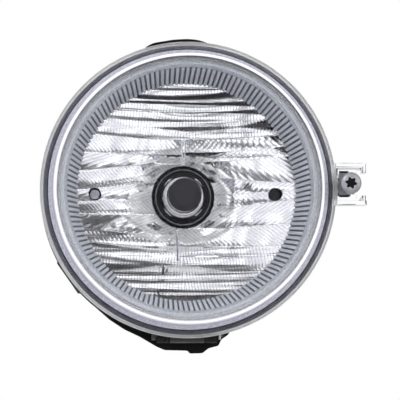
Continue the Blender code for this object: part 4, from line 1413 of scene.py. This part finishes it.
def coil(name, turns, start, end, radius, wire):
    """A helical wire with closed ends along the lamp's axis."""
    per_turn, sides = 20, 8
    count = int(turns * per_turn)
    vertices, faces = [], []
    for i in range(count + 1):
        turn = math.tau * i / per_turn
        depth = start + (end - start) * i / count
        outward = Vector((math.cos(turn), 0.0, math.sin(turn)))
        rise = Vector((0.0, (end - start) / count * per_turn / math.tau, 0.0))
        along = (Vector((-math.sin(turn), 0.0, math.cos(turn))) * radius + rise).normalized()
        across = along.cross(outward).normalized()
        middle = Vector((0.0, y_at(depth), 0.0)) + outward * radius
        for k in range(sides):
            a = math.tau * k / sides
            vertices.append(tuple(middle + (outward * math.cos(a) + across * math.sin(a)) * wire))
    for i in range(count):
        for k in range(sides):
            n = (k + 1) % sides
            a, b = i * sides, (i + 1) * sides
            faces.append([a + k, b + k, b + n, a + n])
    faces.append(list(range(sides)))
    faces.append(list(range(count * sides + sides - 1, count * sides - 1, -1)))
    made = new_object(name, vertices, faces)
    form = bmesh.new()
    form.from_mesh(made.data)
    bmesh.ops.recalc_face_normals(form, faces=form.faces)
    form.to_mesh(made.data)
    form.free()
    return made


class FOGLIGHT_OT_bulb(bpy.types.Operator):
    """Makes the bulb: capsule, coil, sleeve, holder and ring seal, and finishes its wires and pins"""

    bl_idname = "fog_light.bulb"
    bl_label = "Bulb"

    def execute(self, context):
        settings = context.scene.fog_light
        make_capsule()
        steel = metal("stainless_sleeve", (0.88, 0.87, 0.86), 0.3)
        fitted(make_ferrule(), steel, "bulb", "stainless", "bulb_ferrule")
        holder = black_plastic(settings, "holder_plastic", (0.30, 0.5), 3000.0, 0.05, 0.08)
        fitted(make_base(), holder, "bulb", "bulb_plastic", "bulb_base")
        # painted highlight: a lighter metal ring on the collar's chamfer stands in for the highlight along that
        # edge
        edge = metal("collar_highlight_metal", (0.22, 0.22, 0.25), 0.35)
        ring = turned("collar_edge", arc((0.00985, 0.05385), 0.00022, 0.0, 330.0, 12), 128)
        fitted(ring, edge, "bulb", "bulb_plastic", "bulb_base")
        # painted highlight: four bright metal arcs on the collar's face, at 45 degrees, stand in for glints at
        # the edge of its bore
        bright = metal("collar_arc_highlight_metal", (0.75, 0.75, 0.78), 0.3)
        edges = [
            plate(f"edge_{a}", sector(0.00785, 0.00805, a, 24.0, 6), 0.0535, 0.0538) for a in (45, 135, 225, 315)
        ]
        fitted(joined("collar_arcs", edges), bright, "bulb", "bulb_plastic", "bulb_base")
        tungsten = metal("tungsten_wire", (0.46, 0.45, 0.45), 0.3)
        filament = coil("tungsten_coil", 6, 0.0412, 0.0462, 0.0008, 0.00017)
        fitted(filament, tungsten, "bulb", "tungsten", "filament")
        refinish("lead_wire_short", tungsten, 0.00004)
        refinish("lead_wire_long", tungsten, 0.00004)
        brass = metal("tinned_brass", (0.70, 0.68, 0.64), 0.3)
        refinish("terminal_left", brass, 0.0002)
        refinish("terminal_right", brass, 0.0002)
        seal = turned("ring_seal", arc((0.0148, 0.0637), 0.00054, 0.0, 337.5, 16), 128)
        fitted(seal, rubber(settings, "ring_rubber"), "bulb", "seal_rubber", "bulb_seal")
        return {"FINISHED"}


# ---------------------------------------------------------------- mounting frame
FRAME_FRONT, FRAME_BACK = 0.0280, 0.0360
LEG_ANGLES = (35.0, 145.0, 215.0, 325.0)
FOOT_DEPTH = 0.0600
FOOT_THICK = 0.0035
FOOT_HOLE_AT = 0.0432
SLEEVE_BORE_R, SLEEVE_R = 0.00275, 0.0033


def make_frame():
    """The fixed ring with its legs and feet, the hinge's outer knuckles and the adjuster's ear."""
    ring = rounded(
        [(0.0478, FRAME_FRONT), (0.0510, FRAME_FRONT), (0.0510, FRAME_BACK), (0.0478, FRAME_BACK)], 0.0005
    )
    body = turned("mounting_frame", ring, 144)
    hinge_depth = depth_of(HINGE_Y)
    lump = [
        (-0.0160, -0.0482), (-0.0305, -0.0395), (-0.0313, -0.0403), (-0.0266, -0.0444), (-0.0214, -0.0478),
        (-0.0161, -0.0503), (-0.0101, -0.0538), (-0.0073, -0.0550), (0.0008, -0.0552), (0.0015, -0.0562),
        (0.0057, -0.0561), (0.0078, -0.0544), (0.0113, -0.0535), (0.0123, -0.0513), (0.0148, -0.0496),
        (0.0154, -0.0482),
    ]
    tongue = [
        (-0.0160, 0.0485), (-0.0144, 0.0513), (-0.0116, 0.0528), (-0.0046, 0.0540), (0.0004, 0.0543),
        (0.0040, 0.0540), (0.0067, 0.0532), (0.0092, 0.0521), (0.0104, 0.0506), (0.0104, 0.0490),
    ]
    front = FRAME_FRONT + 0.0002
    hinge = plate("hinge_block", rounded(lump, 0.0006, 3), front, FRAME_BACK - 0.0002)
    locator = plate("top_tongue", rounded(tongue, 0.0012, 4), front, FRAME_FRONT + 0.0040)
    ear = block("adjuster_ear", (0.0490, 0.0283, SCREW_Z - 0.0045), (0.0592, 0.0320, SCREW_Z + 0.0045))
    joins = [softened(hinge, 0.0003, 2), softened(locator, 0.0003, 2), softened(ear, 0.0006, 3)]
    for side in (-1, 1):
        inner, outer = side * 0.0063, side * 0.0105
        low, high = min(inner, outer), max(inner, outer)
        joins.append(
            rod(f"knuckle_{side}", KNUCKLE_R, (low, hinge_depth, HINGE_Z), (high, hinge_depth, HINGE_Z))
        )
        joins.append(
            block(
                f"knuckle_arm_{side}",
                (low + 0.0002, hinge_depth, HINGE_Z - 0.0035),
                (high - 0.0002, FRAME_FRONT + 0.0015, HINGE_Z + 0.0024),
            )
        )
    cuts = [rod("hinge_bore", HINGE_BORE_R, (-0.0125, hinge_depth, HINGE_Z), (0.0125, hinge_depth, HINGE_Z))]
    for angle in LEG_ANGLES:
        low, high = (0.0473, FRAME_FRONT + 0.002, -0.0065), (0.0504, FOOT_DEPTH - 0.001, 0.0065)
        leg = block(f"leg_{angle:.0f}", low, high, angle)
        low, high = (0.0368, FOOT_DEPTH - FOOT_THICK, -0.0070), (0.0507, FOOT_DEPTH, 0.0070)
        foot = block(f"foot_{angle:.0f}", low, high, angle)
        joins += [softened(leg, 0.0005, 2), softened(foot, 0.0006, 3)]
        x, z = at_angle(FOOT_HOLE_AT, angle)
        cuts.append(rod(f"foot_hole_{angle:.0f}", 0.0036, (x, 0.052, z), (x, 0.062, z), 48))
        corners = ((0.0470, -3.0), (0.0520, -3.0), (0.0520, 3.0), (0.0470, 3.0))
        lightening = [at_angle(r, angle + a) for r, a in corners]
        cuts.append(plate(f"leg_window_{angle:.0f}", lightening, 0.0400, 0.0520))
    cuts.append(rod("ear_hole", 0.0030, (SCREW_X, 0.026, SCREW_Z), (SCREW_X, 0.034, SCREW_Z)))
    return shaped(body, joins, cuts)


class FOGLIGHT_OT_frame(bpy.types.Operator):
    """Makes the mounting frame with its sleeves, and the hinge pin with its clip"""

    bl_idname = "fog_light.frame"
    bl_label = "Mounting frame"

    def execute(self, context):
        settings = context.scene.fog_light
        plastic = black_plastic(settings, "frame_nylon", (0.42, 0.66), 2000.0, 0.05)
        fitted(make_frame(), plastic, "frame", "black_nylon", "mounting_frame")
        zinc = metal("sleeve_zinc", (0.60, 0.59, 0.56), 0.36)
        front = FOOT_DEPTH - FOOT_THICK - 0.0001
        corners = [(SLEEVE_BORE_R, front), (SLEEVE_R, front), (SLEEVE_R, FOOT_DEPTH), (SLEEVE_BORE_R, FOOT_DEPTH)]
        outline = rounded(corners, 0.00018, 3)
        for angle in LEG_ANGLES:
            name = f"{angle:.0f}"
            sleeve = turned(f"sleeve_{name}", outline, 64, at_angle(FOOT_HOLE_AT, angle))
            fitted(sleeve, zinc, "frame", "zinc", f"foot_sleeve_{name}")
        refinish("hinge_pin", metal("blackened_pin", (0.045, 0.045, 0.05), 0.5), 0.0002)
        refinish("pin_clip", metal("clip_steel", (0.33, 0.34, 0.36), 0.32), 0.00008)
        return {"FINISHED"}


# ---------------------------------------------------------------- adjuster
HEAD_R = 0.00375
SHANK_R = 0.0020
HEAD_FRONT, HEAD_BACK, SCREW_END = -0.0004, 0.0020, 0.0352
THREAD_PITCH = 0.0015
THREAD_HEIGHT = 0.00033


def make_screw():
    """Pan-head screw with a six-lobe recess and a rolled thread."""
    head = rounded(
        [
            (0.0, HEAD_FRONT), (0.0024, HEAD_FRONT), (0.0034, HEAD_FRONT + 0.0005),
            (HEAD_R, HEAD_FRONT + 0.0014), (HEAD_R, HEAD_BACK), (SHANK_R, HEAD_BACK),
        ],
        0.0004,
        5,
        False,
    )
    steps = 190
    thread = [
        (SHANK_R, HEAD_BACK + 0.0004 + (0.0250 - HEAD_BACK - 0.0004) * k / steps) for k in range(steps + 1)
    ]
    end = [(SHANK_R, 0.0254), (0.0031, 0.0254), (0.0031, 0.0266), (SHANK_R, 0.0266), (SHANK_R, 0.0340),
           (0.0027, 0.0340), (0.0023, SCREW_END), (0.0, SCREW_END)]

    def rolled(turn, radius, depth):
        if radius != SHANK_R or not HEAD_BACK + 0.0003 < depth < 0.0251:
            return 0.0
        part = (depth / THREAD_PITCH - turn / math.tau) % 1.0
        return -THREAD_HEIGHT * abs(2 * part - 1)

    screw = turned("adjuster_screw_body", head + thread + end, 48, (SCREW_X, SCREW_Z), 25.0, rolled)
    recess = plate("six_lobe_recess", lobes(0.00205), HEAD_FRONT - 0.0010, HEAD_FRONT + 0.0018)
    return shaped(screw, cut=(recess,), angle=25.0)


def lobes(size):
    """The six-lobe outline of the screw's recess."""
    outline = []
    for i in range(72):
        turn = math.tau * i / 72
        radius = size * (0.84 + 0.16 * math.cos(6 * turn + 1.2))
        outline.append((SCREW_X + radius * math.cos(turn), SCREW_Z + radius * math.sin(turn)))
    return outline


def strip(name, outline, low, high):
    """A flat outline of (x, depth) points that runs from one height to another."""
    near, far = ([(x, y_at(d), height) for x, d in outline] for height in (low, high))
    made = prism(name, near, far)
    if signed_area(outline) > 0:
        made.data.flip_normals()
    return made


def make_clip():
    """The folded spring nut: two leaves, a round fold and a slot that rides in the thread."""
    front, back, sheet = 0.0067, 0.0095, 0.0006
    fold, start = CLIP_BOX[1].x, CLIP_BOX[0].x
    middle = (front + back) / 2
    outer, inner = (back - front) / 2 + sheet, (back - front) / 2
    bend = fold - outer
    round_out = arc((bend, middle), outer, -90.0, 90.0, 13)
    round_in = arc((bend, middle), inner, 90.0, -90.0, 13)
    outline = [(start, front - sheet), *round_out, (start, back + sheet)]
    outline += [(start, back), *round_in, (start, front)]
    low, high = CLIP_BOX[0].z + 0.0007, CLIP_BOX[1].z - 0.0007
    nut = strip("spring_nut", outline, low, high)
    round_end = 0.0035 - 0.0023
    slot = arc((SCREW_X, SCREW_Z + round_end), 0.0023, 0.0, 180.0, 13)
    slot += arc((SCREW_X, SCREW_Z - round_end), 0.0023, 180.0, 360.0, 13)
    cuts = [plate("clip_slot", slot, front - 0.002, back + 0.002)]
    for side in (-1, 1):
        corner = [(SCREW_X, SCREW_Z + side * 0.0040), (fold + 0.001, SCREW_Z + side * 0.0010),
                  (fold + 0.001, SCREW_Z + side * 0.0080), (SCREW_X, SCREW_Z + side * 0.0080)]
        cuts.append(plate(f"clip_corner_{side}", corner, front - 0.002, back + 0.002))
    return shaped(nut, cut=cuts)


class FOGLIGHT_OT_adjuster(bpy.types.Operator):
    """Makes the aiming screw, its spring nut and the bush in which it turns"""

    bl_idname = "fog_light.adjuster"
    bl_label = "Adjuster"

    def execute(self, context):
        zinc = metal("screw_zinc", (0.30, 0.30, 0.32), 0.45)
        fitted(make_screw(), zinc, "adjuster", "zinc", "adjuster_screw")
        painted_shade_black = metal("painted_shade_black_metal", (0.012, 0.012, 0.013), 0.6)
        # painted shade: a black plate at the bottom of the recess stands in for the shadow inside it
        floor = plate("recess_shade_plate", lobes(0.00203), HEAD_FRONT + 0.0004, HEAD_FRONT + 0.0019)
        fitted(floor, painted_shade_black, "adjuster", "zinc", "adjuster_screw")
        fitted(make_clip(), metal("nut_steel", (0.17, 0.175, 0.19), 0.5), "lamp", "spring_steel", "clip_nut")
        # painted shade: the hems along the nut's top and bottom edges are black, standing in for the shade along
        # those edges
        hems = []
        for height in (CLIP_BOX[0].z + 0.0004, CLIP_BOX[1].z - 0.0004):
            hem = rod("hem", 0.0004, (CLIP_BOX[0].x, 0.0066, height), (SCREW_X - 0.0002, 0.0066, height), 16)
            hems.append(hem)
        fitted(joined("nut_hems", hems), painted_shade_black, "lamp", "spring_steel", "clip_nut")
        outline = rounded(
            [
                (0.00235, 0.0268), (0.0038, 0.0268), (0.0038, 0.0280), (0.0027, 0.0280),
                (0.0027, 0.0323), (0.0034, 0.0323), (0.0029, 0.0337), (0.00235, 0.0337),
            ],
            0.0002,
            3,
        )
        bush = turned("nylon_bush", outline, 64, (SCREW_X, SCREW_Z))
        fitted(bush, white_nylon(), "frame", "natural_nylon", "screw_socket")
        return {"FINISHED"}


# ---------------------------------------------------------------- panel and registration
OPERATORS = (
    FOGLIGHT_OT_stage,
    FOGLIGHT_OT_lens,
    FOGLIGHT_OT_trim,
    FOGLIGHT_OT_mirror,
    FOGLIGHT_OT_housing,
    FOGLIGHT_OT_bulb,
    FOGLIGHT_OT_frame,
    FOGLIGHT_OT_adjuster,
)


class FOGLIGHT_PT_sidebar(bpy.types.Panel):
    """Lists the lamp's settings and pieces"""

    bl_label = "Fog Light"
    bl_idname = "FOGLIGHT_PT_sidebar"
    bl_space_type = "VIEW_3D"
    bl_region_type = "UI"
    bl_category = "Fog Light"

    def draw(self, context):
        column = self.layout.column()
        for name in FogLightSettings.__annotations__:
            column.prop(context.scene.fog_light, name)
        for operator in OPERATORS:
            column.operator(operator.bl_idname)


def register():
    for item in (FogLightSettings, *OPERATORS, FOGLIGHT_PT_sidebar):
        bpy.utils.register_class(item)
    bpy.types.Scene.fog_light = PointerProperty(type=FogLightSettings)


def unregister():
    del bpy.types.Scene.fog_light
    for item in (FOGLIGHT_PT_sidebar, *reversed(OPERATORS), FogLightSettings):
        bpy.utils.unregister_class(item)


def main():
    register()
    for operator in OPERATORS:
        group, name = operator.bl_idname.split(".")
        getattr(getattr(bpy.ops, group), name)()


if __name__ == "__main__":
    main()
